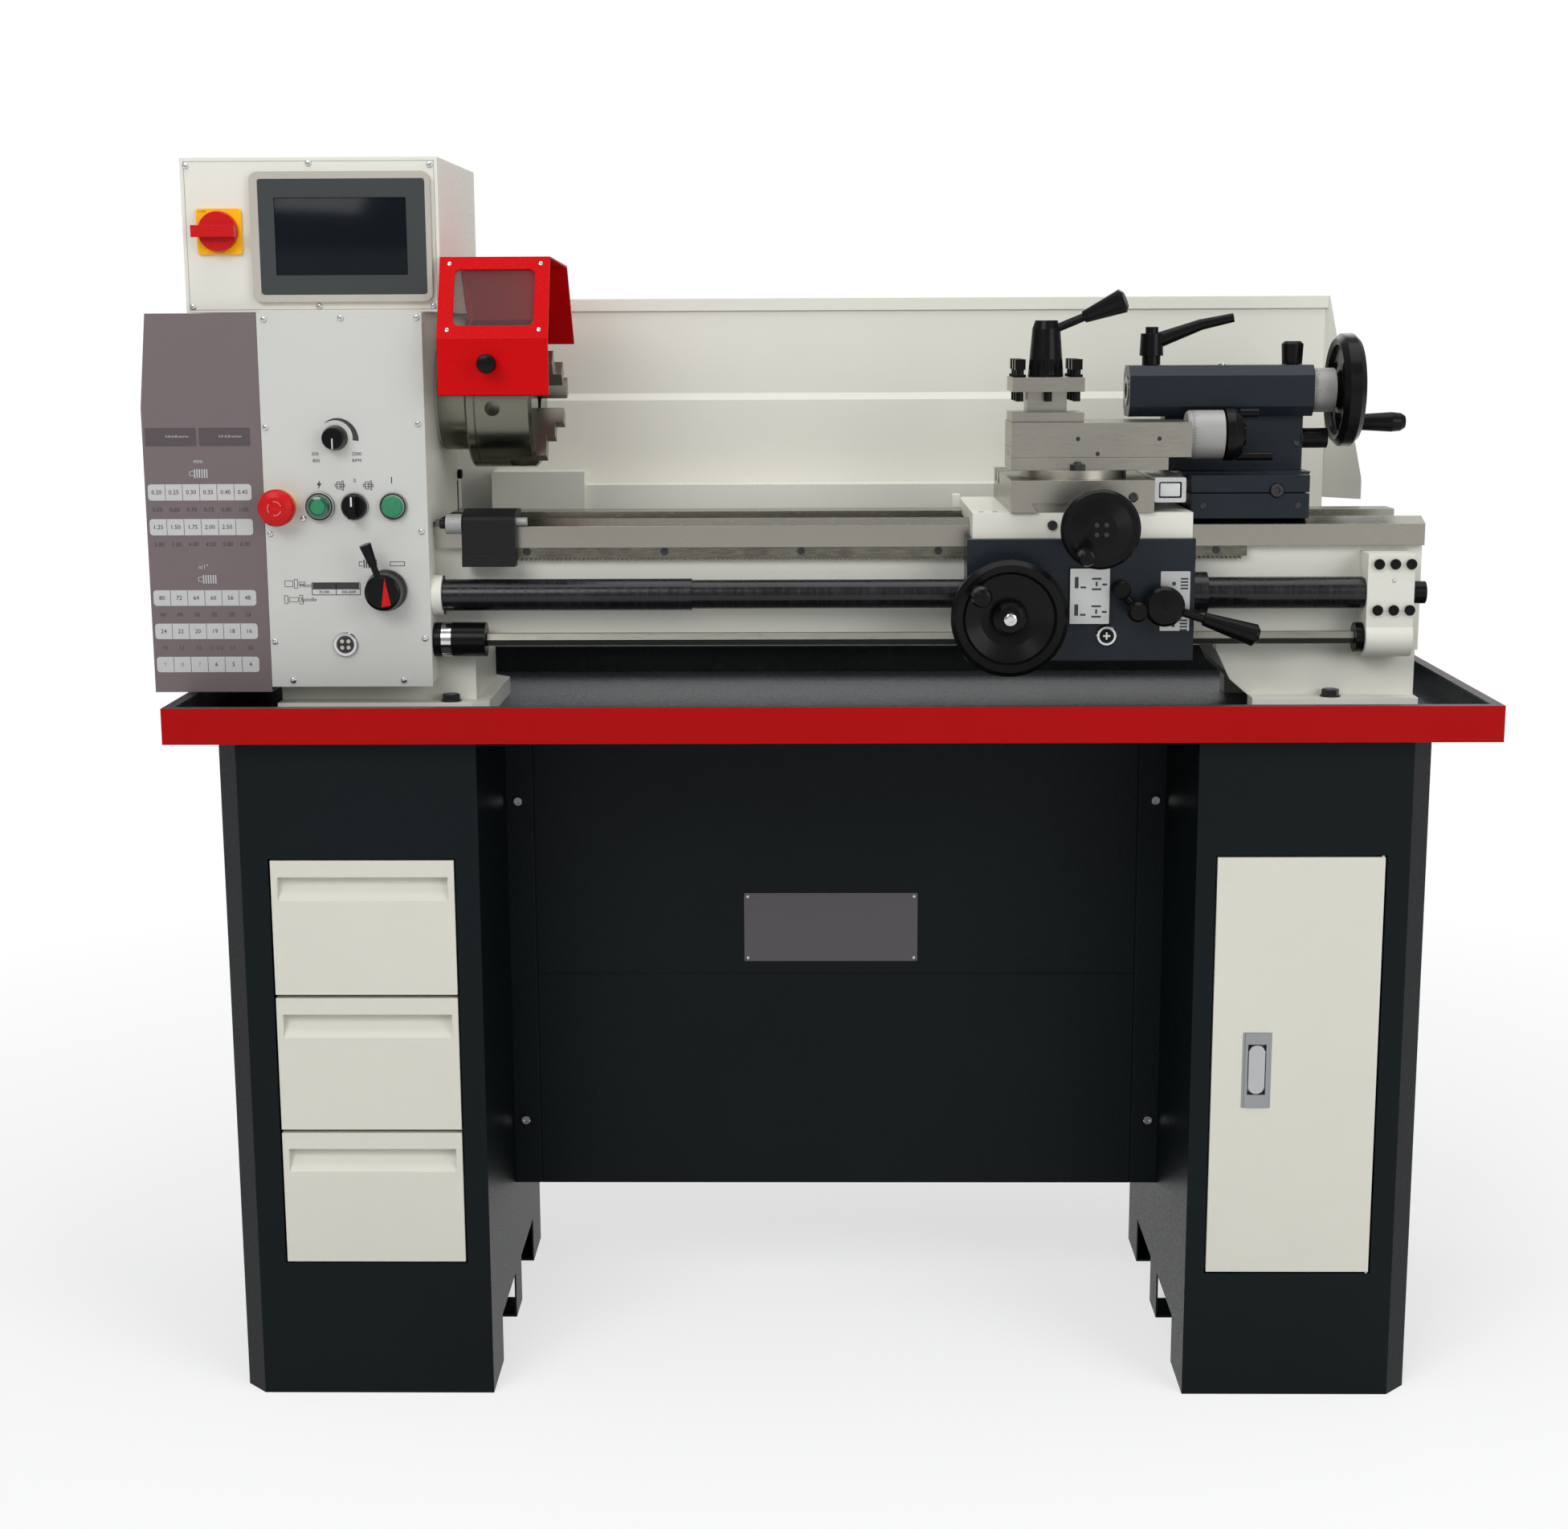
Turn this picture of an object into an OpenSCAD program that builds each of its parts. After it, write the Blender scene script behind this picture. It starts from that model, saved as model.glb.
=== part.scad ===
// Bench lathe on a two-pedestal stand.
// X runs along the bed (headstock at -X), Y away from the operator, Z up.
// The origin is on the floor, under the spindle axis and midway along the machine.

/* [Stand] */
// Height of the two pedestals
stand_h = 736; // [700:1:760]
// Depth of the pedestals
pedestal_d = 450; // [440:1:460]
// Length of the chip tray
tray_l = 1387; // [1380:1:1395]
// Depth of the chip tray
tray_d = 487; // [480:1:490]
// Height of the tray rim above its floor
rim_h = 32; // [28:1:33]
// Sheet thickness of the stand
sheet = 2; // [1.5:0.5:2.5]
// Height of one drawer front
drawer_h = 147; // [140:1:147]

/* [Bed] */
// Width over both ways
bed_w = 180; // [178:1:182]
// Width of one way
way_w = 40; // [36:1:42]
// Height of the front V way's ridge above the floor
ridge_z = 953; // [950:1:955]
// Spindle height above the V ridge
centre_h = 132; // [131:1:134]

/* [Chuck] */
// Diameter of the chuck
chuck_d = 160; // [150:1:162]
// Diameter of the hole through the spindle
spindle_bore = 38; // [30:1:40]
// Diameter of the guided part of the tailstock quill
quill_d = 32; // [30:1:34]
// Diameter of the hole in the quill's nose
quill_bore = 18; // [16:1:20]

/* [Handwheels] */
// Diameter of the carriage and tailstock handwheels
big_wheel_d = 122; // [110:1:124]
// Diameter of the cross slide handwheel
cross_wheel_d = 82; // [76:1:84]

/* [Hidden] */
$fn = 48;
gap = 0.3;          // clearance between parts that move past each other
run = 0.05;         // radial clearance of a running fit

// Main levels and lines
axis_z = ridge_z + centre_h;
way_side_z = ridge_z - 7;          // top edge of a way's side face
way_low_z = ridge_z - 30;          // underside of the ways
flat_z = ridge_z - 2;              // top of the flat rear way
floor_z = stand_h + sheet;         // tray floor
rim_z = floor_z + rim_h;
bed_x0 = -583;
bed_x1 = 652;
half = bed_w / 2;
tray_x0 = -678;
tray_x1 = tray_x0 + tray_l;
tray_y0 = -222;
ped_y0 = -195;
ped_y1 = ped_y0 + pedestal_d;
screw_y = -103;                    // lead screw and feed rod line
screw_z = axis_z - 211;
rod_z = screw_z - 48;

// Headstock
head_x0 = -583;
head_x1 = -410;
head_y0 = -123;
head_y1 = 120;
head_top = axis_z + 88;
cover_y1 = 240;                    // rear of the end cover
cover_hinge_x = head_x0 + 4;
cover_hinge_y = cover_y1 + 4;
knuckle_z0 = 990;
knuckle_z1 = 1100;
knuckle_h = 30;
plate_t = 2;
plate_y = head_y0 - plate_t;       // front face of the control plate
plate_z0 = 778;
button_z = axis_z - 114;

// Mains switch on the control box
isolator_x = -620;
isolator_z = head_top + 83;

// Gear train: modules, teeth and centres
gear_m = 2;
drive_m = 2;
feed_m = 1.5;
z_spindle_drive = 56;
z_layshaft = 35;
z_spindle_end = 46;
z_idler = 92;
z_lead = 16;
z_feed = 22;
gear_x = -602;
gear_t = 10;
belt_x = -628;
belt_w = 16;
layshaft_dy = 62;
layshaft_y = layshaft_dy;
drive_c = drive_m * (z_spindle_drive + z_layshaft) / 2;
layshaft_z = axis_z - sqrt(drive_c * drive_c - layshaft_dy * layshaft_dy);
motor_y = 166;
motor_z = axis_z - 222;
motor_pulley_r = 28;
layshaft_pulley_r = 60;
idler_c1 = gear_m * (z_spindle_end + z_idler) / 2;
idler_c2 = gear_m * (z_idler + z_lead) / 2;
train_len = norm([screw_y, screw_z - axis_z]);
train_dir = atan2(screw_z - axis_z, screw_y);
idler_along = (train_len * train_len + idler_c1 * idler_c1 - idler_c2 * idler_c2) / (2 * train_len);
idler_turn = acos(idler_along / idler_c1);
idler_dir = train_dir + idler_turn;
idler_y = idler_c1 * cos(idler_dir);
idler_z = axis_z + idler_c1 * sin(idler_dir);
idler_phase = idler_dir + 180 + 180 / z_idler;
lead_dir = atan2(screw_z - idler_z, screw_y - idler_y);
lead_phase = lead_dir + 180 + 180 / z_lead + (lead_dir - idler_phase) * z_idler / z_lead;
drive_dir = atan2(layshaft_z - axis_z, layshaft_y);
feed_c = feed_m * z_feed;                    // centres of the three equal feed gears
feed_gear_z = (screw_z + rod_z) / 2;
feed_gear_y = screw_y + sqrt(feed_c * feed_c - pow((screw_z - rod_z) / 2, 2));
feed_x = gear_x - 13;
feed_dir1 = atan2(feed_gear_z - screw_z, feed_gear_y - screw_y);
feed_phase1 = feed_dir1 + 180 + 180 / z_feed;
feed_dir2 = atan2(rod_z - feed_gear_z, screw_y - feed_gear_y);
feed_phase2 = feed_dir2 + 180 + 180 / z_feed + (feed_dir2 - feed_phase1);

// Chuck and guard
chuck_x0 = -375;
chuck_x1 = -303;
jaw_x1 = -275;
jaw_r0 = 20;
guard_x0 = -390;
guard_x1 = -275;
guard_t = 2;
guard_axis_y = 95;
guard_axis_z = axis_z + 75;

// Carriage
saddle_x0 = 166;
saddle_x1 = 398;
saddle_z = ridge_z + 9;
apron_x0 = 160;
apron_x1 = 400;
apron_y0 = -140;
apron_y1 = -91;
apron_z0 = 806;
apron_z1 = 935;
web_x = apron_x0 + 39;             // web inside the apron that holds the left cover
hand_x = 202;
hand_z = 857;
cross_x = 292;
cross_z = 951;
slide_x0 = 206;
slide_x1 = 356;
slide_y0 = -135;
slide_y1 = 110;
slide_z = saddle_z + 34;
pivot_x = 278;
pivot_y = -62;
swivel_r = 57;
base_z = slide_z + 9;
top_z0 = slide_z + 22.5;
top_z1 = slide_z + 59;
top_x0 = 208;
top_x1 = 398;
top_half = 45;
top_axis_z = slide_z + 44;
post_x = 247;
post_half = 38;
post_z1 = slide_z + 106;

// Tailstock
tail_x0 = 342;
tail_x1 = 542;
tail_half = 28;
tail_base_x0 = 401;
tail_base_x1 = 527;
cover_r = 17;
cover_inner_r = 15.5;

// ---------- helpers ----------

// A block given by two opposite corners
module block(a, b) {
    translate(a) cube(b - a);
}

// A bar along X between x0 and x1
module xbar(x0, x1, y, z, r, sides = 48) {
    translate([x0, y, z]) rotate([90, 0, 90]) cylinder(h = x1 - x0, r = r, $fn = sides);
}

// A bar along Y between y0 and y1
module ybar(x, z, y0, y1, r, sides = 48) {
    translate([x, y1, z]) rotate([90, 0, 0]) cylinder(h = y1 - y0, r = r, $fn = sides);
}

// A bar along Z between z0 and z1
module zbar(x, y, z0, z1, r, sides = 48) {
    translate([x, y, z0]) cylinder(h = z1 - z0, r = r, $fn = sides);
}

// Extrudes an outline drawn in Y and Z from x0 to x1
module along_x(x0, x1) {
    translate([x0, 0, 0]) rotate([90, 0, 90]) linear_extrude(x1 - x0) children();
}

// Extrudes an outline drawn in X and Z from y0 to y1
module along_y(y0, y1) {
    translate([0, y1, 0]) rotate([90, 0, 0]) linear_extrude(y1 - y0) children();
}

// A turned piece whose axis points to -Y, drawn as [radius, height] pairs
module turned_front(x, z, y, outline) {
    translate([x, y, z]) rotate([90, 0, 0]) rotate_extrude($fn = 72) polygon(outline);
}

// A turned piece whose axis points to +X
module turned_right(x, y, z, outline) {
    translate([x, y, z]) rotate([90, 0, 90]) rotate_extrude($fn = 72) polygon(outline);
}

// Straight-flanked spur gear outline, tooth 0 centred on its X axis
module gear_outline(teeth, m) {
    root = m * teeth / 2 - 1.2 * m;
    tip = m * teeth / 2 + 0.9 * m;
    step = 360 / teeth;
    polygon([for (i = [0 : teeth - 1]) for (p = [[root, -0.27], [tip, -0.11], [tip, 0.11], [root, 0.27]])
        p[0] * [cos((i + p[1]) * step), sin((i + p[1]) * step)]]);
}

// A gear on an X axis through (y, z), turned by phase
module gear(x, y, z, teeth, m, thick, phase, bore) {
    translate([x, y, z]) rotate([90, 0, 90]) difference() {
        rotate(phase) linear_extrude(thick) gear_outline(teeth, m);
        translate([0, 0, -1]) cylinder(h = thick + 2, r = bore);
    }
}

// A round operating handle along Y, pointing to the operator
module crank_handle_y(x, z, y_wheel, len, r) {
    ybar(x, z, y_wheel - 8, y_wheel, 0.5 * r);
    translate([x, y_wheel - 8, z]) rotate([90, 0, 0]) rotate_extrude($fn = 36)
        polygon([[0, 0], [0.75 * r, 0], [0.9 * r, 0.3 * len], [r, 0.8 * len],
                 [0.8 * r, len - 1], [0.5 * r, len], [0, len]]);
}

// A rounded-corner plate outline in X and Z
module round_plate(x0, z0, x1, z1, r) {
    for (x = [x0 + r, x1 - r]) for (z = [z0 + r, z1 - r]) translate([x, z]) circle(r = r, $fn = 24);
    translate([x0 + r, z0]) square([x1 - x0 - 2 * r, z1 - z0]);
    translate([x0, z0 + r]) square([x1 - x0, z1 - z0 - 2 * r]);
}

// ---------- stand ----------

// Footprint of a pedestal: inner side at x = 0, outer side at x = w, outer front corner cut off
module pedestal_outline(w, inset = 0) {
    cut = 23 - 0.6 * inset;
    translate([inset, ped_y0 + inset])
        polygon([[0, 0], [w - 2 * inset - cut, 0], [w - 2 * inset, cut],
                 [w - 2 * inset, pedestal_d - 2 * inset], [0, pedestal_d - 2 * inset]]);
}

// Folded sheet pedestal, open at the bottom, with foot flanges and two foot-side notches
module pedestal(w) {
    sill_z = 60;
    notch_h = 56;
    difference() {
        linear_extrude(stand_h) pedestal_outline(w);
        translate([0, 0, sill_z + sheet]) linear_extrude(stand_h - sill_z - 2 * sheet)
            pedestal_outline(w, sheet);
        translate([0, 0, -1]) linear_extrude(sill_z + 1) pedestal_outline(w, sheet);
        for (y = [-112, 59]) block([-1, y, -1], [w + 1, y + 120, notch_h]);
    }
    // foot flanges with an anchor hole in each corner
    difference() {
        linear_extrude(3) pedestal_outline(w, sheet / 2);
        for (y = [-112, 59]) block([-1, y, -1], [w + 1, y + 120, 4]);
        block([46, ped_y0 + 46, -1], [w - 46, ped_y1 - 46, 4]);
        for (x = [32, w - 32]) for (y = [ped_y0 + 32, ped_y1 - 32]) zbar(x, y, -1, 4, 6);
    }
}

drawer_x0 = -578;
drawer_x1 = -383;
left_w = 276;
left_x = -356;
drawer_pitch = drawer_h + 4;
drawer_low_z = 153.3;
runner_z = 12;                     // runner ledge above the lower edge of a drawer front

module left_pedestal() {
    color([0.08, 0.12, 0.13]) {
        difference() {
            translate([left_x, 0, 0]) mirror([1, 0, 0]) pedestal(left_w);
            block([drawer_x0 - 2, ped_y0 - 1, drawer_low_z - 2],
                  [drawer_x1 + 2, ped_y0 + sheet + 1, drawer_low_z + 3 * drawer_pitch - 2]);
        }
        // ledges that the drawers run on
        for (i = [0 : 2]) {
            z = drawer_low_z + i * drawer_pitch + runner_z;
            block([left_x - left_w + sheet, ped_y0 + 24, z - 2], [drawer_x0 + 25, ped_y1 - sheet, z]);
            block([drawer_x1 - 25, ped_y0 + 24, z - 2], [left_x - sheet, ped_y1 - sheet, z]);
        }
    }
}

door_x0 = 423.5;
door_x1 = 599.5;
door_z0 = 142.5;
door_z1 = 604.5;
right_x = 401;
right_w = 247;
hinge_x = door_x1 - 2;
hinge_y = ped_y0 + 2.5;

module right_pedestal() {
    color([0.08, 0.12, 0.13]) difference() {
        union() {
            difference() {
                translate([right_x, 0, 0]) pedestal(right_w);
                block([door_x0 - 2, ped_y0 - 1, door_z0 - 2], [door_x1 + 2, ped_y0 + sheet + 1, door_z1 + 2]);
            }
            // lugs for the door's pivot pins
            for (z = [door_z0 - 8, door_z1 + 2])
                block([door_x1 - 10, ped_y0, z], [door_x1 + 6, ped_y0 + 12, z + 6]);
        }
        for (z = [door_z0 - 9, door_z1 + 1]) zbar(hinge_x, hinge_y, z, z + 8, 1.6);
    }
}

panel_y = 30;
panel_z0 = 160;

module back_panel() {
    color([0.08, 0.12, 0.13]) difference() {
        union() {
            block([left_x, panel_y, panel_z0], [right_x, panel_y + sheet, stand_h]);
            for (x = [left_x, right_x - sheet])
                block([x, panel_y, panel_z0], [x + sheet, panel_y + 24, stand_h]);
            block([left_x, panel_y, panel_z0], [right_x, panel_y + 20, panel_z0 + sheet]);
        }
        for (x = [left_x + 30, right_x - 32])
            block([x, panel_y - 1, panel_z0 - 1], [x + 2, panel_y + 0.6, stand_h - 40]);
        block([left_x + 30, panel_y - 1, 415], [right_x - 30, panel_y + 0.6, 417]);
    }
}

module chip_tray() {
    skirt_z = stand_h - 4;
    lip = 12;
    y1 = tray_y0 + tray_d;
    color([0.10, 0.13, 0.14]) difference() {
        block([tray_x0, tray_y0, skirt_z], [tray_x1, y1, rim_z]);
        block([tray_x0 + sheet, tray_y0 + sheet, floor_z], [tray_x1 - sheet, y1 - sheet, rim_z - sheet]);
        block([tray_x0 + lip, tray_y0 + lip, floor_z], [tray_x1 - lip, y1 - lip, rim_z + 1]);
        block([tray_x0 + sheet, tray_y0 + sheet, skirt_z - 1], [tray_x1 - sheet, y1 - sheet, stand_h]);
    }
}

// A drawer: folded front with a slanted finger pull, and an open box behind it
module drawer(index) {
    z0 = drawer_low_z + index * drawer_pitch;
    z1 = z0 + drawer_h;
    front_t = 16;
    side = 10;
    wall = 1.5;
    bottom_z = z0 + runner_z + gap;
    depth_y = ped_y1 - 40;
    color([0.83, 0.83, 0.80]) {
        difference() {
            block([drawer_x0, ped_y0, z0], [drawer_x1, ped_y0 + front_t, z1]);
            along_x(drawer_x0 + 7, drawer_x1 - 7)
                polygon([[ped_y0 - 1, z1 - 18], [ped_y0 + 12, z1 - 20], [ped_y0 + 10, z1 - 28],
                         [ped_y0, z1 - 44], [ped_y0 - 1, z1 - 44]]);
        }
        difference() {
            block([drawer_x0 + side, ped_y0 + front_t, bottom_z], [drawer_x1 - side, depth_y, z1 - 16]);
            block([drawer_x0 + side + wall, ped_y0 + front_t, bottom_z + wall],
                  [drawer_x1 - side - wall, depth_y - wall, z1]);
        }
    }
}

module top_drawer() {
    drawer(2);
}

module middle_drawer() {
    drawer(1);
}

module bottom_drawer() {
    drawer(0);
}

latch_x0 = 458.5;
latch_x1 = 484;
latch_z0 = 329.5;
latch_z1 = 412.5;
paddle_x0 = 462.5;
paddle_x1 = 480;
paddle_z0 = 345;
paddle_z1 = 399;

module cupboard_door() {
    door_t = 16;
    skin = 1.5;
    color([0.83, 0.83, 0.80]) difference() {
        union() {
            difference() {
                block([door_x0, ped_y0, door_z0], [door_x1, ped_y0 + door_t, door_z1]);
                block([door_x0 + skin, ped_y0 + skin, door_z0 + skin],
                      [door_x1 - skin, ped_y0 + door_t + 1, door_z1 - skin]);
            }
            for (z = [door_z0 - 7, door_z1 - 2]) zbar(hinge_x, hinge_y, z, z + 9, 1.5);
            block([hinge_x - 6, ped_y0 + 1, door_z0], [door_x1 - 0.5, ped_y0 + 8, door_z0 + 4]);
            block([hinge_x - 6, ped_y0 + 1, door_z1 - 4], [door_x1 - 0.5, ped_y0 + 8, door_z1]);
            // latch housing
            block([latch_x0, ped_y0 - 1.5, latch_z0], [latch_x1, ped_y0 + 12, latch_z1]);
        }
        block([paddle_x0 - 1, ped_y0 - 3, paddle_z0 - 1], [paddle_x1 + 1, ped_y0 + 9, paddle_z1 + 1]);
        xbar(paddle_x0 - 3, paddle_x1 + 3, ped_y0 + 2, paddle_z1 - 8, 1.5 + run);
    }
}

module door_latch() {
    r = (paddle_x1 - paddle_x0) / 2;
    xc = paddle_x0 + r;
    color([0.72, 0.73, 0.72]) {
        along_y(ped_y0 - 1.5, ped_y0 + 2.5) {
            translate([xc, paddle_z1 - r]) circle(r = r);
            translate([xc, paddle_z0 + r]) circle(r = r);
            translate([paddle_x0, paddle_z0 + r]) square([2 * r, paddle_z1 - paddle_z0 - 2 * r]);
        }
        block([xc - 5, ped_y0 + 2, paddle_z1 - 12], [xc + 5, ped_y0 + 7, paddle_z1 - 4]);
        xbar(paddle_x0 - 2.5, paddle_x1 + 2.5, ped_y0 + 2, paddle_z1 - 8, 1.5);
    }
}

// ---------- bed ----------

module way_outlines() {
    polygon([[-half, way_low_z], [-half, way_side_z], [-half + way_w / 2, ridge_z],
             [-half + way_w, way_side_z], [-half + way_w, way_low_z]]);
    polygon([[half - way_w, way_low_z], [half - way_w, flat_z], [half, flat_z], [half, way_low_z]]);
}

module bed() {
    web_z = 810;
    span_z = 828;                  // underside of the webs between the feet
    span_x0 = -370;
    span_x1 = 434;
    foot_top = 808;
    flange_z = 757;
    color([0.86, 0.86, 0.82]) {
        difference() {
            union() {
                along_x(bed_x0, bed_x1) way_outlines();
                for (s = [-1, 1]) {
                    block([bed_x0, min(s * 80, s * 62), span_z - 1], [bed_x1, max(s * 80, s * 62), way_low_z + 1]);
                    block([span_x0, min(s * 84, s * 58), span_z - 12], [span_x1, max(s * 84, s * 58), span_z]);
                    block([bed_x0, min(s * 80, s * 62), web_z - 4], [span_x0, max(s * 80, s * 62), span_z]);
                    block([span_x1, min(s * 80, s * 62), web_z - 1], [bed_x1, max(s * 80, s * 62), span_z]);
                }
                // end walls and cross ribs
                for (x = [bed_x0, -410, 520, bed_x1 - 14]) block([x, -70, web_z], [x + 14, 70, way_low_z - 4]);
                for (x = [-250, -90, 70, 230, 390]) block([x, -70, span_z], [x + 14, 70, way_low_z - 4]);
                // left foot, under the headstock
                block([bed_x0, -80, flange_z - 2], [span_x0, 80, foot_top]);
                translate([0, 0, floor_z]) linear_extrude(flange_z - floor_z)
                    polygon([[bed_x0, -104], [-372, -104], [-355, -88], [-355, 88], [-372, 104], [bed_x0, 104]]);
                // right foot
                block([471, -80, flange_z + 2], [bed_x1 - 3, 80, web_z]);
                block([471, -104, floor_z], [bed_x1 - 3, 104, flange_z + 3]);
                along_y(-80, 80) polygon([[span_x1, web_z], [450, flange_z + 20], [471, flange_z + 2],
                    [500, flange_z + 2], [500, web_z]]);
            }
            // hollow right foot, open to the left
            block([400, -74, floor_z - 1], [bed_x1 - 20, 74, web_z - 24]);
            // hollow left foot
            block([bed_x0 + 16, -74, floor_z - 1], [-385, 74, web_z - 24]);
        }
    }
}

module rack() {
    x0 = -347;
    x1 = 463;
    pitch = 4.712;
    z1 = way_low_z;
    z0 = z1 - 14;
    count = floor((x1 - x0) / pitch);
    color([0.55, 0.54, 0.52]) along_y(-half + 1, -80)
        polygon(concat([[x0, z1], [x0, z0 + 3]],
            [for (i = [0 : count - 1]) for (p = [[0.28, 3], [0.42, 0], [0.58, 0], [0.72, 3]])
                [x0 + (i + p[0]) * pitch, z0 + p[1]]],
            [[x1, z0 + 3], [x1, z1]]));
}

// Clamped micrometer stop on the front way
module carriage_stop() {
    x0 = -377;
    x1 = -320;
    color([0.15, 0.15, 0.16]) {
        along_x(x0, x1)
            polygon([[-110, ridge_z - 36], [-half - gap, ridge_z - 36], [-half - gap, way_side_z + gap],
                     [-half + way_w / 2, ridge_z + 2 * gap], [-half + way_w - 2, way_side_z + 1.4],
                     [-half + way_w - 2, ridge_z + 10], [-half + 8, ridge_z + 12], [-104, ridge_z + 7],
                     [-108, ridge_z + 5], [-110, ridge_z + 2]]);
        block([x0, -112, ridge_z - 48], [x1, -half - 2, ridge_z - 36]);
        xbar(x1 - 1, x1 + 12, -98, ridge_z - 1, 4.5);
        xbar(x0 - 17, x0 + 1, -101.5, ridge_z - 3, 10.8);
        xbar(x0 - 24, x0 - 16, -101.5, ridge_z - 3, 5);
    }
}

// Bearing bracket for the lead screw and feed rod
module end_bracket() {
    x0 = 586;
    x1 = 636;
    color([0.88, 0.88, 0.84]) difference() {
        union() {
            block([x0, -120, screw_z - 30], [x1, -80, screw_z + 43]);
            xbar(x0, x1, screw_y, rod_z, 21);
            block([x0, -120, rod_z], [x1, -80, screw_z - 28]);
        }
        xbar(x0 - 1, x1 + 1, screw_y, screw_z, 10 + run);
        xbar(x0 - 1, x1 + 1, screw_y, rod_z, 8 + run);
        // counterbored mounting screws
        for (x = [x0 + 11, x0 + 28, x0 + 45]) for (z = [screw_z + 32, screw_z - 17])
            ybar(x, z, -121, -114, 4.5);
        for (z = [screw_z + 14, rod_z + 2]) ybar(x0 + 28, z, -121, -117, 2.2);
    }
}

module splash_guard() {
    x0 = -285;
    x1 = 598;
    left = head_x1 - 20;
    clear_x = -340;                // left of here the guard stays above the motor
    clear_z = 938;
    foot_z = 816;
    lip_h = 14;
    y = 181;
    t = 1.5;
    fold_z = axis_z - 10;
    top_z = axis_z + 103;
    wing = 40;
    color([0.89, 0.89, 0.86]) {
        difference() {
            along_x(left, x1) polygon([[y, foot_z], [y, fold_z - 4], [y + 5, fold_z + 4], [y + 5, top_z - lip_h],
                [y + 2, top_z - lip_h], [y + 2, top_z], [y + 12, top_z], [y + 12, top_z - 6], [y + 12 - t, top_z - 6],
                [y + 12 - t, top_z - t], [y + 5 + t, top_z - t], [y + 5 + t, fold_z + 4], [y + t, fold_z - 4],
                [y + t, foot_z]]);
            block([left - 1, y - 1, foot_z - 1], [clear_x, y + t + 1, clear_z]);
        }
        // arms that hold the guard on the back of the bed
        for (x = [-210, 110, 430]) block([x, 80, 860], [x + 16, y + t, 884]);
        // folded-out right wing
        difference() {
            translate([x1 - 2, y + t + 5, 0]) rotate([0, 0, -45]) translate([0, -t, 0])
                linear_extrude(top_z) square([57, t]);
            block([x1 - 60, 100, -1], [x1 + 80, 260, 955]);
            along_y(60, 260) polygon([[x1 + 1, top_z + 1], [x1 + 42, 953], [x1 + 90, 953], [x1 + 90, top_z + 1]]);
        }
        // sill over the back of the bed and the raised box at its left end
        difference() {
            block([x0 - 50, 137, ridge_z - 12], [x1 - 38, y, ridge_z + 22]);
            block([x0 - 48, 139, ridge_z - 13], [x1 - 40, y - t, ridge_z + 20]);
        }
        difference() {
            block([-376, 128, ridge_z - 12], [-268, y, ridge_z + 38]);
            block([-374, 130, ridge_z - 13], [-270, y - t, ridge_z + 36]);
        }
    }
}

// ---------- lead screw and feed rod ----------

module lead_screw() {
    color([0.45, 0.45, 0.45]) {
        xbar(gear_x - 14, 640, screw_y, screw_z, 10);
        gear(gear_x, screw_y, screw_z, z_lead, gear_m, gear_t, lead_phase, 10);
        gear(feed_x, screw_y, screw_z, z_feed, feed_m, 9, feed_dir1, 10);
        xbar(638, 651, screw_y, screw_z, 12);
    }
}

module feed_rod() {
    color([0.62, 0.62, 0.61]) {
        xbar(head_x1 + 55, 580, screw_y, rod_z, 7.5, 6);
        xbar(gear_x - 14, head_x1 + 2, screw_y, rod_z, 8);
        gear(feed_x, screw_y, rod_z, z_feed, feed_m, 9, feed_phase2, 8);
        // shear coupling beside the headstock
        xbar(head_x1 + 1, head_x1 + 56, screw_y, rod_z, 18.5);
        // black bush and journal at the bracket
        xbar(577, 585.5, screw_y, rod_z, 16);
        xbar(585, 634, screw_y, rod_z, 8);
    }
}

module cover_tube(x0, x1, r, wall) {
    difference() {
        xbar(x0, x1, screw_y, screw_z, r);
        xbar(x0 - 1, x1 + 1, screw_y, screw_z, r - wall);
    }
}

module left_cover_outer() {
    color([0.10, 0.10, 0.11]) cover_tube(head_x1 + 11, -132, cover_r, 1.1);
}

module left_cover_inner() {
    color([0.10, 0.10, 0.11]) cover_tube(-148, web_x, cover_inner_r, 1.2);
}

module right_cover_outer() {
    color([0.10, 0.10, 0.11]) {
        cover_tube(apron_x1, 584, cover_r, 1.1);
        cover_tube(apron_x1, apron_x1 + 18, cover_r + 5.5, 6);
    }
}

module right_cover_inner() {
    color([0.10, 0.10, 0.11]) cover_tube(214, 586, cover_inner_r, 1.2);
}

// ---------- headstock ----------

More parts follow.
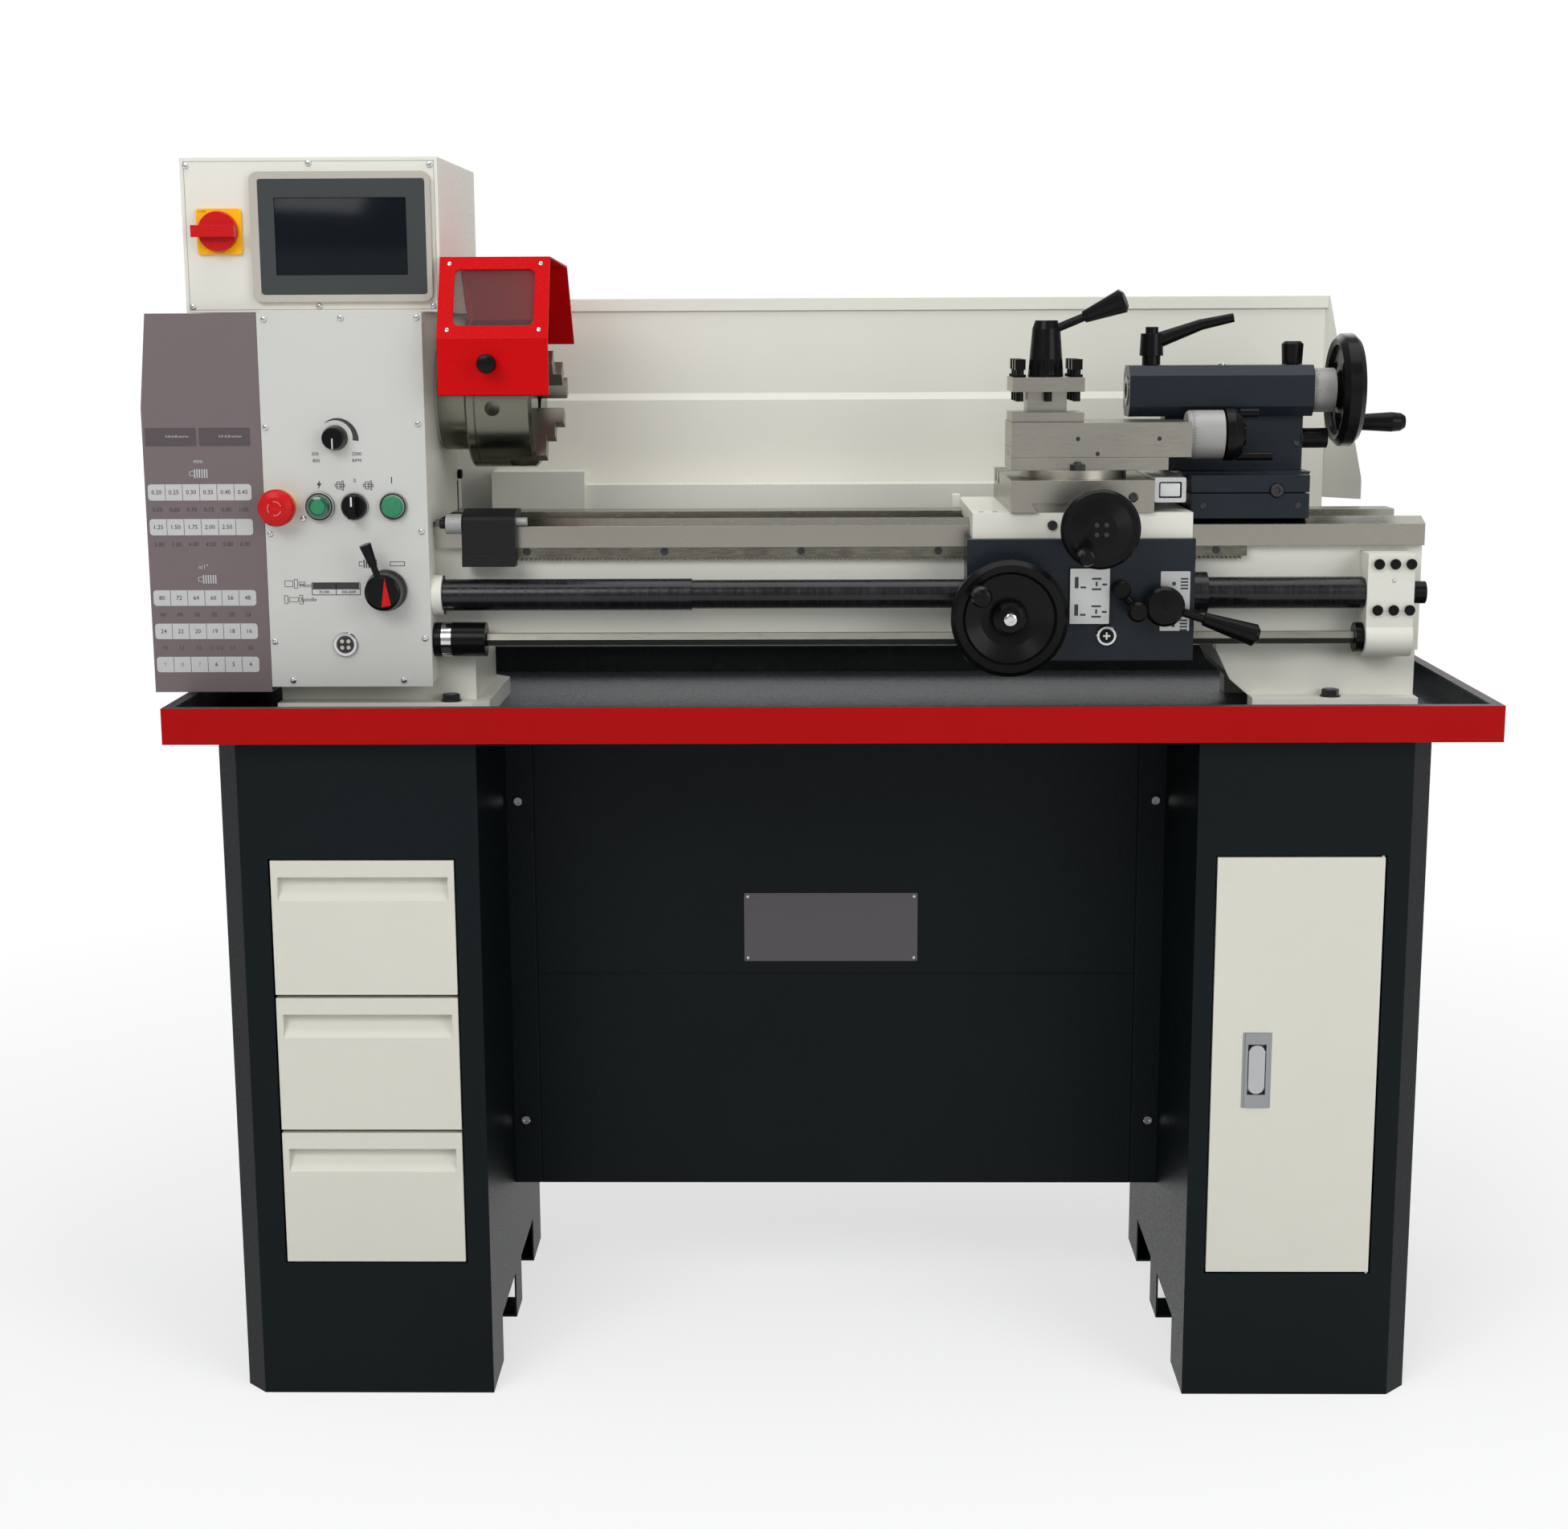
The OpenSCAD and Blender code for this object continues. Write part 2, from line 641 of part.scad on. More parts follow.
module headstock() {
    wall = 14;
    low_y1 = -81;
    under_z = flat_z;
    color([0.89, 0.89, 0.86]) difference() {
        union() {
            block([head_x0, head_y0, under_z], [head_x1, head_y1, head_top]);
            block([head_x0, head_y0, plate_z0 + 4], [head_x1, -half, under_z]);
            block([head_x0, head_y0, plate_z0 + 4], [head_x1, low_y1, way_low_z]);
            // flange that carries the lead screw cover
            xbar(head_x1, head_x1 + 11, screw_y, screw_z, 21.5);
            // plate that carries the gear studs and the ends of the two feed shafts
            block([head_x0 - 7, -121, rod_z - 14], [head_x0, 14, under_z + 24]);
            // arm and pin of the end cover's hinge
            block([head_x0 + 1, head_y1 - 1, knuckle_z0], [head_x0 + 7, cover_y1, knuckle_z1]);
            block([head_x0 + 1, cover_y1 - 1, knuckle_z0], [head_x0 + 7, cover_hinge_y + 3.5, knuckle_z1]);
            zbar(cover_hinge_x, cover_hinge_y, knuckle_z0 - knuckle_h, knuckle_z1 + knuckle_h, 2.5);
            // pivot boss for the chuck guard
            xbar(head_x1, head_x1 + 16, guard_axis_y, guard_axis_z, 12);
            xbar(head_x1, guard_x0 + 14, guard_axis_y, guard_axis_z, 6);
            // register in front of the spindle bearing
            xbar(head_x1 - 1, head_x1 + 3, 0, axis_z, 56);
        }
        // V groove over the front way
        groove_w = way_w / 2 * (ridge_z - under_z + 1) / (ridge_z - way_side_z);
        along_x(head_x0 - 1, head_x1 + 1) polygon([[-half + way_w / 2 - groove_w, under_z - 1],
            [-half + way_w / 2, ridge_z], [-half + way_w / 2 + groove_w, under_z - 1]]);
        // gear chamber
        block([head_x0 + wall, head_y0 + 3 * wall, under_z + wall],
              [head_x1 - wall, head_y1 - wall, head_top - wall]);
        // electrical pocket behind the control plate
        block([head_x0 + 8, head_y0 - 1, screw_z + 31], [head_x1 - 8, head_y0 + 16, head_top - 10]);
        // spindle and layshaft bearings
        xbar(head_x1 - 4.5, head_x1 + 4, 0, axis_z, 45);
        xbar(head_x1 - wall - 1, head_x1, 0, axis_z, 28 + run);
        xbar(head_x0 - 1, head_x0 + wall + 1, 0, axis_z, 24 + run);
        xbar(head_x1 - wall - 1, head_x1 - 2.5, layshaft_y, layshaft_z, 10 + run);
        xbar(head_x0 - 1, head_x0 + wall + 1, layshaft_y, layshaft_z, 10 + run);
        // lead screw and feed rod tunnels
        xbar(head_x0 - 1, head_x1 + 12, screw_y, screw_z, cover_inner_r + 1);
        xbar(head_x0 - 8, head_x0, screw_y, screw_z, 10 + run);
        xbar(head_x0 - 8, head_x1 + 1, screw_y, rod_z, 8 + run);
        // gear studs and the range lever's shaft
        xbar(head_x0 - 8, head_x0 - 1, idler_y, idler_z, 9 + run);
        xbar(head_x0 - 8, head_x0 - 1, feed_gear_y, feed_gear_z, 6 + run);
        ybar(lever_x, lever_z, head_y0 - 1, head_y0 + 2.3, stem_r + run);
    }
}

// Hinged cover over the change gears and belt
module end_cover() {
    x0 = -709;
    z0 = rim_z + 2.5;
    wall = 2;
    z1 = head_top - 0.5;
    color([0.48, 0.45, 0.48]) difference() {
        union() {
            along_y(plate_y, cover_y1) polygon([[head_x0 - gap, z0], [x0, z0], [x0, axis_z - 10],
                                                [x0 + 9, z1], [head_x0 - gap, z1]]);
            // two hinge knuckles at the back
            for (z = [knuckle_z0 - knuckle_h - gap, knuckle_z1 + gap]) {
                zbar(cover_hinge_x, cover_hinge_y, z, z + knuckle_h, 4.5);
                block([cover_hinge_x - 16, cover_y1 - 1, z], [cover_hinge_x, cover_y1 + 2, z + knuckle_h]);
            }
        }
        along_y(plate_y + wall, cover_y1 - wall)
            polygon([[head_x0 + 1, z0 + wall], [x0 + wall, z0 + wall], [x0 + wall, axis_z - 10],
                     [x0 + 9 + wall, z1 - wall], [head_x0 + 1, z1 - wall]]);
        zbar(cover_hinge_x, cover_hinge_y, knuckle_z0 - 60, knuckle_z1 + 60, 2.5 + run);
        // hole for long bars in line with the spindle
        xbar(x0 - 1, x0 + 20, 0, axis_z, 23);
    }
}

lamp_x = -524;
sight_x = -502;
sight_z = axis_z - 261;
knob_x = -505;
knob_z = axis_z - 42;
stop_x = -566;
switch_x = -487;
start_x = -446;
lever_x = -456;
lever_z = axis_z - 203;
stem_r = 8;

module control_plate() {
    color([0.79, 0.81, 0.80]) difference() {
        union() {
            block([head_x0, plate_y, plate_z0], [head_x1, head_y0, head_top]);
            // lamp bezel and lens, oil sight
            ybar(lamp_x, button_z, plate_y - 5, plate_y + 1, 15.5);
            ybar(lamp_x, button_z, plate_y - 11, plate_y - 4, 11.5);
            ybar(sight_x, sight_z, plate_y - 3, plate_y + 1, 12.5);
            // collars of the push button and the switch
            for (x = [switch_x, start_x]) ybar(x, button_z, plate_y - 4, plate_y + 1, 14.5);
            ybar(stop_x, button_z, plate_y - 6, plate_y + 1, 17);
        }
        for (x = [switch_x, start_x, stop_x]) ybar(x, button_z, plate_y - 8, head_y0 + 1, stem_r + run);
        ybar(knob_x, knob_z, plate_y - 1, head_y0 + 1, 5 + run);
        ybar(lever_x, lever_z, plate_y - 1, head_y0 + 1, stem_r + run);
    }
}

module speed_knob() {
    color([0.06, 0.06, 0.06]) {
        turned_front(knob_x, knob_z, plate_y - 0.5,
            [[0, 0], [13.5, 0], [13, 5], [11.5, 15], [10.5, 17], [0, 17]]);
        ybar(knob_x, knob_z, plate_y - 1, head_y0 + 8, 5);
    }
}

module emergency_stop() {
    color([0.80, 0.05, 0.05]) {
        turned_front(stop_x, button_z, plate_y - 12, [[0, 0], [19, 0], [19.5, 2], [19.5, 10], [17.5, 13.5],
                                                      [12, 16], [0, 17]]);
        ybar(stop_x, button_z, plate_y - 13, head_y0 + 8, stem_r);
    }
}

module direction_switch() {
    color([0.06, 0.06, 0.06]) {
        turned_front(switch_x, button_z, plate_y - 4.3, [[0, 0], [12, 0], [12, 4], [0, 4]]);
        block([switch_x - 4, plate_y - 20, button_z - 12], [switch_x + 4, plate_y - 8, button_z + 12]);
        ybar(switch_x, button_z, plate_y - 5, head_y0 + 8, stem_r);
    }
}

module start_button() {
    color([0.05, 0.35, 0.20]) {
        turned_front(start_x, button_z, plate_y - 7, [[0, 0], [11.5, 0], [11.5, 2], [10, 4.5], [0, 5.5]]);
        ybar(start_x, button_z, plate_y - 8, head_y0 + 8, stem_r);
    }
}

// Range lever: round hub with a slim arm and tapered grip
module gear_lever() {
    color([0.07, 0.07, 0.07]) {
        turned_front(lever_x, lever_z, plate_y - 0.5, [[0, 0], [22, 0], [22, 6], [20, 14], [19, 27],
                                                       [16, 29], [0, 29]]);
        ybar(lever_x, lever_z, plate_y - 1, head_y0 + 2, stem_r);
        translate([lever_x, plate_y - 20, lever_z]) rotate([8, -18, 0]) {
            cylinder(h = 34, r = 3.5);
            translate([0, 0, 30]) cylinder(h = 24, r1 = 4.5, r2 = 6.5);
        }
    }
}

module control_box() {
    x0 = -659;
    x1 = -391;
    y0 = -110;
    y1 = 157;
    z1 = head_top + 158;
    wall = 2;
    color([0.88, 0.88, 0.83]) {
        difference() {
            block([x0, y0, head_top], [x1, y1, z1]);
            block([x0 + wall, y0 + wall, head_top + wall], [x1 - wall, y1 - wall, z1 - wall]);
            for (i = [0 : 6]) block([-560, y1 - 3, head_top + 40 + 12 * i], [-480, y1 + 1, head_top + 45 + 12 * i]);
            ybar(isolator_x, isolator_z, y0 - 1, y0 + 3, 6 + run);
        }
        // raised display unit with its screen recess
        difference() {
            along_y(y0 - 5, y0) round_plate(-586, head_top + 11, -399, head_top + 143, 9);
            block([-562, y0 - 6, head_top + 38], [-424, y0 - 3, head_top + 117]);
        }
        // isolator plate
        difference() {
            along_y(y0 - 4, y0) round_plate(isolator_x - 23, isolator_z - 23, isolator_x + 23, isolator_z + 23, 3);
            ybar(isolator_x, isolator_z, y0 - 5, y0 + 1, 6 + run);
        }
    }
}

module isolator_knob() {
    y0 = -114.5;
    color([0.80, 0.06, 0.05]) {
        turned_front(isolator_x, isolator_z, y0, [[0, 0], [20, 0], [21, 5], [20, 10], [0, 10]]);
        block([isolator_x - 25, y0 - 20, isolator_z - 6], [isolator_x + 20, y0 - 9, isolator_z + 6]);
        ybar(isolator_x, isolator_z, y0 - 1, y0 + 9, 6);
    }
}

// ---------- spindle drive ----------

module spindle() {
    nose_x = chuck_x0;
    color([0.60, 0.60, 0.60]) {
        difference() {
            union() {
                xbar(-652, head_x1 - 20, 0, axis_z, 24);
                xbar(head_x1 - 40, head_x1 - 3, 0, axis_z, 28);
                xbar(head_x1 - 4, nose_x - 12, 0, axis_z, 40);
                xbar(gear_x - 6, gear_x - 1, 0, axis_z, 29);
                xbar(head_x0 + 21, head_x0 + 28, 0, axis_z, 30);
            }
            xbar(-653, nose_x + 1, 0, axis_z, spindle_bore / 2);
        }
        gear(gear_x, 0, axis_z, z_spindle_end, gear_m, gear_t, idler_dir, 24);
        gear(-520, 0, axis_z, z_spindle_drive, drive_m, 20, drive_dir, 24);
    }
}

// Reduction shaft with the belt pulley outside and the drive gear inside
module layshaft() {
    color([0.55, 0.55, 0.56]) {
        xbar(belt_x - 14, head_x1 - 3, layshaft_y, layshaft_z, 10);
        gear(-520, layshaft_y, layshaft_z, z_layshaft, drive_m, 20, drive_dir + 180 + 180 / z_layshaft, 10);
        difference() {
            xbar(belt_x - 11, belt_x + 11, layshaft_y, layshaft_z, layshaft_pulley_r + 4);
            difference() {
                xbar(belt_x - belt_w / 2 - 1, belt_x + belt_w / 2 + 1, layshaft_y, layshaft_z, layshaft_pulley_r + 5);
                xbar(belt_x - belt_w, belt_x + belt_w, layshaft_y, layshaft_z, layshaft_pulley_r);
            }
            xbar(belt_x - 20, belt_x + 20, layshaft_y, layshaft_z, 10);
        }
    }
}

// Idler of the change gear train on its stud
module change_gear() {
    color([0.50, 0.50, 0.50]) {
        gear(gear_x, idler_y, idler_z, z_idler, gear_m, gear_t, idler_phase, 9);
        xbar(gear_x - 6, head_x0 - 1.5, idler_y, idler_z, 9);
    }
}

// Gear between the lead screw's and the feed rod's gears
module feed_gear() {
    color([0.50, 0.50, 0.50]) {
        gear(feed_x, feed_gear_y, feed_gear_z, z_feed, feed_m, 9, feed_phase1, 6);
        xbar(feed_x - 3, head_x0 - 1.5, feed_gear_y, feed_gear_z, 6);
    }
}

module motor() {
    mount_y = head_y1;
    color([0.20, 0.24, 0.28]) difference() {
        union() {
            xbar(-560, -372, motor_y, motor_z, 60);
            xbar(-372, -352, motor_y, motor_z, 63);
            xbar(-578, -560, motor_y, motor_z, 66);
            for (i = [0 : 11]) rotate_about(i * 30)
                block([-545, motor_y - 2, motor_z + 58], [-385, motor_y + 2, motor_z + 66]);
            // foot bolted to the back of the headstock
            block([-556, mount_y, motor_z + 40], [-436, mount_y + 12, motor_z + 150]);
            block([-556, mount_y, motor_z + 20], [-436, motor_y, motor_z + 56]);
            // terminal box
            block([-500, motor_y + 30, motor_z + 30], [-420, motor_y + 74, motor_z + 74]);
        }
        xbar(-579, -548, motor_y, motor_z, 9 + run);
        for (x = [-540, -452]) for (z = [motor_z + 96, motor_z + 134]) ybar(x, z, mount_y - 1, mount_y + 13, 4);
    }
}

// Turns its children about the motor's axis
module rotate_about(a) {
    translate([0, motor_y, motor_z]) rotate([a, 0, 0]) translate([0, -motor_y, -motor_z]) children();
}

module motor_pulley() {
    color([0.58, 0.58, 0.58]) {
        xbar(belt_x - 12, -550, motor_y, motor_z, 9);
        difference() {
            xbar(belt_x - 11, belt_x + 11, motor_y, motor_z, motor_pulley_r + 4);
            difference() {
                xbar(belt_x - belt_w / 2 - 1, belt_x + belt_w / 2 + 1, motor_y, motor_z, motor_pulley_r + 5);
                xbar(belt_x - belt_w, belt_x + belt_w, motor_y, motor_z, motor_pulley_r);
            }
            xbar(belt_x - 20, belt_x + 20, motor_y, motor_z, 9);
        }
    }
}

// Outline of a loop around both pulleys at a given distance from their grooves
module belt_loop(extra) {
    hull() {
        translate([motor_y, motor_z]) circle(r = motor_pulley_r + extra, $fn = 96);
        translate([layshaft_y, layshaft_z]) circle(r = layshaft_pulley_r + extra, $fn = 96);
    }
}

module drive_belt() {
    color([0.08, 0.08, 0.08]) difference() {
        along_x(belt_x - belt_w / 2, belt_x + belt_w / 2) belt_loop(3.4);
        along_x(belt_x - belt_w, belt_x + belt_w) belt_loop(0.4);
    }
}

// ---------- chuck ----------

module chuck_body() {
    slot_w = 20;
    color([0.62, 0.61, 0.58]) difference() {
        union() {
            xbar(head_x1 + 3.5, chuck_x0 + 12, 0, axis_z, 61);
            turned_right(chuck_x0, 0, axis_z, [[0, 0], [chuck_d / 2 - 2, 0], [chuck_d / 2, 2], [chuck_d / 2, 9.6],
                [chuck_d / 2 - 0.8, 10], [chuck_d / 2 - 0.8, 10.8], [chuck_d / 2, 11.2],
                [chuck_d / 2, chuck_x1 - chuck_x0 - 4], [chuck_d / 2 - 4, chuck_x1 - chuck_x0], [0, chuck_x1 - chuck_x0]]);
        }
        // spindle nose socket and bore
        xbar(head_x1 - 5, chuck_x0 - 12, 0, axis_z, 40);
        xbar(head_x1 - 5, chuck_x1 + 1, 0, axis_z, spindle_bore / 2);
        // jaw slots and key sockets
        for (k = [0 : 2]) {
            jaw_place(k) {
                block([chuck_x1 - 30, -slot_w / 2 - gap, 0], [chuck_x1 + 1, slot_w / 2 + gap, chuck_d / 2 + 1]);
                block([chuck_x1 - 22, -slot_w / 2 - 4, 0], [chuck_x1 - 13.7, slot_w / 2 + 4, chuck_d / 2 + 1]);
            }
            jaw_place(k + 0.5) zbar(chuck_x0 + 30, 0, chuck_d / 2 - 22, chuck_d / 2 + 2, 8);
        }
    }
}

// Places a piece drawn on the +Z side of the spindle axis at jaw position k
jaw_turn = 40;
module jaw_place(k) {
    translate([0, 0, axis_z]) rotate([k * 120 + jaw_turn, 0, 0]) children();
}

// Stepped jaw, riding in its T slot
module jaw(k) {
    w = 20;
    x = chuck_x1;
    color([0.55, 0.54, 0.52]) jaw_place(k) difference() {
        union() {
            block([x - 29.5, -w / 2, jaw_r0 + 4], [x + 0.5, w / 2, chuck_d / 2 - 6]);
            block([x - 21.7, -w / 2 - 3.7, jaw_r0 + 4], [x - 14, w / 2 + 3.7, chuck_d / 2 - 6]);
            block([x + 0.4, -w / 2, jaw_r0], [x + 10, w / 2, chuck_d / 2 - 6]);
            block([x + 10, -w / 2, jaw_r0], [x + 19, w / 2, jaw_r0 + 32]);
            block([x + 19, -w / 2, jaw_r0], [jaw_x1, w / 2, jaw_r0 + 16]);
        }
        // clamping edges taper to the centre
        for (s = [-1, 1]) translate([0, s * 8, jaw_r0 - 6]) rotate([s * 45, 0, 0])
            block([x - 1, -9, -9], [jaw_x1 + 1, 9, 2]);
    }
}

module chuck_jaw_1() {
    jaw(0);
}

module chuck_jaw_2() {
    jaw(1);
}

module chuck_jaw_3() {
    jaw(2);
}

// Guard section: front, window face, top and back, as [y, z] from the spindle axis
guard_line = [[-158, 3], [-158, 61], [-118, 144], [52, 138], [114, 54]];

module guard_window_place() {
    d = guard_line[2] - guard_line[1];
    translate([0, guard_line[1][0], axis_z + guard_line[1][1]]) rotate([atan2(d[1], d[0]) , 0, 0]) children();
}

window_x0 = -374;
window_x1 = -290;
window_s0 = 14;
window_s1 = 78;

module chuck_guard() {
    inner = [for (p = guard_line) p + [guard_t, -guard_t * 0.6]];
    color([0.86, 0.02, 0.06]) {
        difference() {
            union() {
                translate([0, 0, axis_z]) along_x(guard_x0, guard_x1)
                    polygon(concat(guard_line,
                        [for (i = [4 : -1 : 0]) i > 2 ? guard_line[i] - [guard_t, guard_t] : inner[i]]));
                // side arm that turns on the headstock's pivot
                xbar(guard_x0, guard_x0 + 3, guard_axis_y, guard_axis_z, 18);
                along_x(guard_x0, guard_x0 + 3) polygon([[50, axis_z + 136], [112, axis_z + 56],
                    [guard_axis_y + 8, axis_z + 60], [guard_axis_y - 18, guard_axis_z], [30, axis_z + 137]]);
            }
            guard_window_place() linear_extrude(20, center = true) window_outline(0);
            xbar(guard_x0 - 1, guard_x0 + 15, guard_axis_y, guard_axis_z, 6 + run);
        }
        // lift knob
        turned_front(-337, axis_z + 35, guard_line[0][0], [[0, 0], [5, 0], [5, 6], [9.5, 10], [9.5, 18], [7, 21], [0, 21]]);
    }
}

module window_outline(grow) {
    r = 7;
    hull() for (x = [window_x0 + r, window_x1 - r]) for (d = [window_s0 + r, window_s1 - r])
        translate([x, d]) circle(r = r + grow, $fn = 24);
}

// Clear pane screwed behind the guard's sloped face
module guard_window() {
    color([0.85, 0.88, 0.88, 0.5]) guard_window_place() translate([0, 0, -5.8]) linear_extrude(3)
        translate([window_x0 - 8, window_s0 - 8])
            square([window_x1 - window_x0 + 16, window_s1 - window_s0 + 16]);
}

// ---------- carriage ----------

dove = [[236, saddle_z - 1], [320, saddle_z - 1], [328, saddle_z + 10], [228, saddle_z + 10]];

module saddle() {
    color([0.88, 0.88, 0.85]) difference() {
        union() {
            along_x(saddle_x0, saddle_x1)
                polygon([[-130, apron_z1], [-half - gap, apron_z1], [-half - gap, way_side_z + gap],
                         [-half + way_w / 2, ridge_z + 2 * gap], [-half + way_w, way_side_z + gap],
                         [half - way_w - 1, way_side_z + gap], [half - way_w - 1, flat_z + gap],
                         [half + gap, flat_z + gap], [half + gap, way_low_z + 8], [108, way_low_z + 8],
                         [108, saddle_z], [-130, saddle_z]]);
            along_y(-128, 108) polygon(dove);
            // bearing block of the cross feed screw
            block([cross_x - 24, -146, cross_z - 16], [cross_x + 24, -129, saddle_z]);
            ybar(cross_x, cross_z, -150, -145, 20);
        }
        ybar(cross_x, cross_z, -151, -92, 6 + run);
    }
}

module apron() {
    wall = 9;
    color([0.18, 0.22, 0.27]) difference() {
        union() {
            block([apron_x0, apron_y0, apron_z0], [apron_x1, apron_y1, apron_z1]);
            // boss for the carriage handwheel and raised lever block
            ybar(hand_x, hand_z, apron_y0 - 22, apron_y0 + 1, 17);
            block([268, apron_y0 - 6, 846], [310, apron_y0 + 1, 905]);
            ybar(366, 866, apron_y0 - 6, apron_y0 + 1, 12);
        }
        difference() {
            block([apron_x0 + wall, apron_y0 + wall, apron_z0 + wall],
                  [apron_x1 - wall, apron_y1 + 1, apron_z1 - wall]);
            block([web_x, apron_y0, screw_z - 24], [web_x + 6, apron_y1 + 2, apron_z1]);
        }
        xbar(apron_x0 - 1, apron_x0 + wall + 1, screw_y, screw_z, cover_r + 0.4);
        xbar(web_x - 1, web_x + 7, screw_y, screw_z, 10.5);
        xbar(apron_x1 - wall - 1, apron_x1 + 1, screw_y, screw_z, cover_inner_r + 0.5);
        xbar(apron_x0 - 1, apron_x1 + 1, screw_y, rod_z, 9);
        ybar(hand_x, hand_z, apron_y0 - 23, apron_y1, 8 + run);
        ybar(366, 866, apron_y0 - 7, apron_y0 + wall + 1, 7 + run);
        ybar(322, 882, apron_y0 - 1, apron_y0 + wall + 1, 6 + run);
    }
}

// Dished handwheel on a Y axis with a turning handle
module carriage_handwheel() {
    r = big_wheel_d / 2;
    y = apron_y0 - 22.4;
    color([0.05, 0.05, 0.05]) {
        turned_front(hand_x, hand_z, y, [[0, 0], [17, 0], [17, 6], [30, 10], [r - 14, 17], [r - 13, 14], [r - 5, 12],
            [r, 17], [r, 24], [r - 5, 29], [r - 12, 28], [r - 15, 23], [30, 18], [17, 16], [17, 26], [14, 28],
            [9, 28], [9, 31], [0, 31]]);
        ybar(hand_x, hand_z, y - 1, -121, 8);
        crank_handle_y(hand_x - 32, hand_z + 27, y - 16, 48, 11);
    }
}

module cross_slide() {
    z0 = saddle_z + gap;
    color([0.62, 0.61, 0.59]) difference() {
        block([slide_x0, slide_y0, z0], [slide_x1, slide_y1, slide_z]);
        along_y(slide_y0 - 1, slide_y1 + 1) offset_dove(gap);
        // T slots across the rear half
        for (y = [40, 80]) {
            block([slide_x0 - 1, y - 5, slide_z - 8], [slide_x1 + 1, y + 5, slide_z + 1]);
            block([slide_x0 - 1, y - 9, slide_z - 14], [slide_x1 + 1, y + 9, slide_z - 7.9]);
        }
        ybar(334, axis_z - 107, slide_y0 - 1, slide_y0 + 8, 5);
    }
}

// The dovetail's outline with clearance, cut from the cross slide
module offset_dove(c) {
    polygon([dove[0] + [-c * 1.5, -3], dove[1] + [c * 1.5, -3], dove[1] + [c * 1.5, 0], dove[2] + [c * 1.5, c],
             dove[3] + [-c * 1.5, c], dove[0] + [-c * 1.5, 0]]);
}

// Dial, hub and dished wheel of the cross feed
module cross_handwheel() {
    r = cross_wheel_d / 2;
    y = -150.4;
    color([0.06, 0.06, 0.06]) {
        turned_front(cross_x, cross_z, y, [[0, 0], [20, 0], [20, 24], [13, 24], [13, 44], [17, 46], [r - 8, 50],
            [r - 2, 48], [r, 51], [r, 58], [r - 3, 62], [r - 9, 62], [16, 65], [12, 65], [0, 65]]);
        ybar(cross_x, cross_z, y - 1, -92.5, 6);
        crank_handle_y(cross_x - 19, cross_z - 24, y - 58, 46, 9.5);
    }
}

module swivel_base() {
    color([0.66, 0.65, 0.63]) {
        difference() {
            zbar(pivot_x, pivot_y, slide_z, base_z, swivel_r, 72);
            for (s = [-1, 1]) zbar(pivot_x, pivot_y + s * 48, slide_z + 4, base_z + 1, 6);
        }
        difference() {
            along_x(top_x0, top_x0 + 166) polygon([[pivot_y - top_half, base_z], [pivot_y + top_half, base_z],
                [pivot_y + top_half, top_z0 - gap], [pivot_y + 24, top_z0 - gap], [pivot_y + 30, top_z0 + 10],
                [pivot_y - 30, top_z0 + 10], [pivot_y - 24, top_z0 - gap], [pivot_y - top_half, top_z0 - gap]]);
            xbar(top_x0 - 1, top_x0 + 170, pivot_y, top_z0 + 3, 4);
        }
    }
}

module top_slide() {
    color([0.66, 0.65, 0.62]) difference() {
        union() {
            block([top_x0, pivot_y - top_half, top_z0], [top_x1, pivot_y + top_half, top_z1]);
            // centre post of the toolpost
            zbar(post_x, pivot_y, top_z1 - 1, post_z1 + 20, 8);
        }
        along_x(top_x0 - 1, top_x1 + 1) polygon([[pivot_y - 25, top_z0 - 1], [pivot_y + 25, top_z0 - 1],
            [pivot_y + 25, top_z0], [pivot_y + 31, top_z0 + 10.5], [pivot_y - 31, top_z0 + 10.5],
            [pivot_y - 25, top_z0]]);
        // gib screws and the feed screw bearing
        for (x = [278, 364]) ybar(x, top_z1 - 17, pivot_y - top_half - 1, pivot_y - top_half + 5, 2.2);
        ybar(299, top_z0 + 4, pivot_y - top_half - 1, pivot_y - top_half + 5, 2);
        xbar(top_x1 - 26, top_x1 + 1, pivot_y, top_axis_z, 5 + run);
    }
}

// Dial, black wheel and two handles of the top slide
module top_handwheel() {
    x = top_x1 + 0.4;
    r = 28;
    color([0.08, 0.08, 0.08]) {
        turned_right(x, pivot_y, top_axis_z, [[0, 0], [24, 0], [26, 3], [26, 39], [20, 39], [20, 41], [r, 41],
            [r, 50], [r - 4, 58], [12, 60], [12, 63], [0, 63]]);
        xbar(top_x1 - 24, x + 1, pivot_y, top_axis_z, 5);
        xbar(x + 56, x + 76, pivot_y - 6, top_axis_z + 23, 4.5);
        xbar(x + 54, x + 92, pivot_y - 6, top_axis_z - 23, 4.5);
    }
}

module toolpost() {
    z0 = top_z1 + gap;
    zw = z0 + 10;
    color([0.60, 0.59, 0.57]) {
        difference() {
            union() {
                block([post_x - post_half, pivot_y - post_half, z0], [post_x + post_half, pivot_y + post_half, zw]);
                block([post_x - 21, pivot_y - 21, z0], [post_x + 21, pivot_y + 21, post_z1]);
                block([post_x - post_half, pivot_y - post_half, post_z1 - 15],
                      [post_x + post_half, pivot_y + post_half, post_z1]);
            }
            zbar(post_x, pivot_y, z0 - 1, post_z1 + 1, 8 + run);
        }
        // square-headed tool clamping screws
        for (i = [-1 : 1]) for (j = [-1 : 1]) if (i != 0 || j != 0) {
            x = post_x + i * 30;
            y = pivot_y + j * 30;
            zbar(x, y, zw + 11.5, post_z1 + 10, 4.2);
            block([x - 5.5, y - 5.5, post_z1 + 8], [x + 5.5, y + 5.5, post_z1 + 19]);
            zbar(x, y, post_z1, post_z1 + 3, 6.5, 6);
        }
    }
}

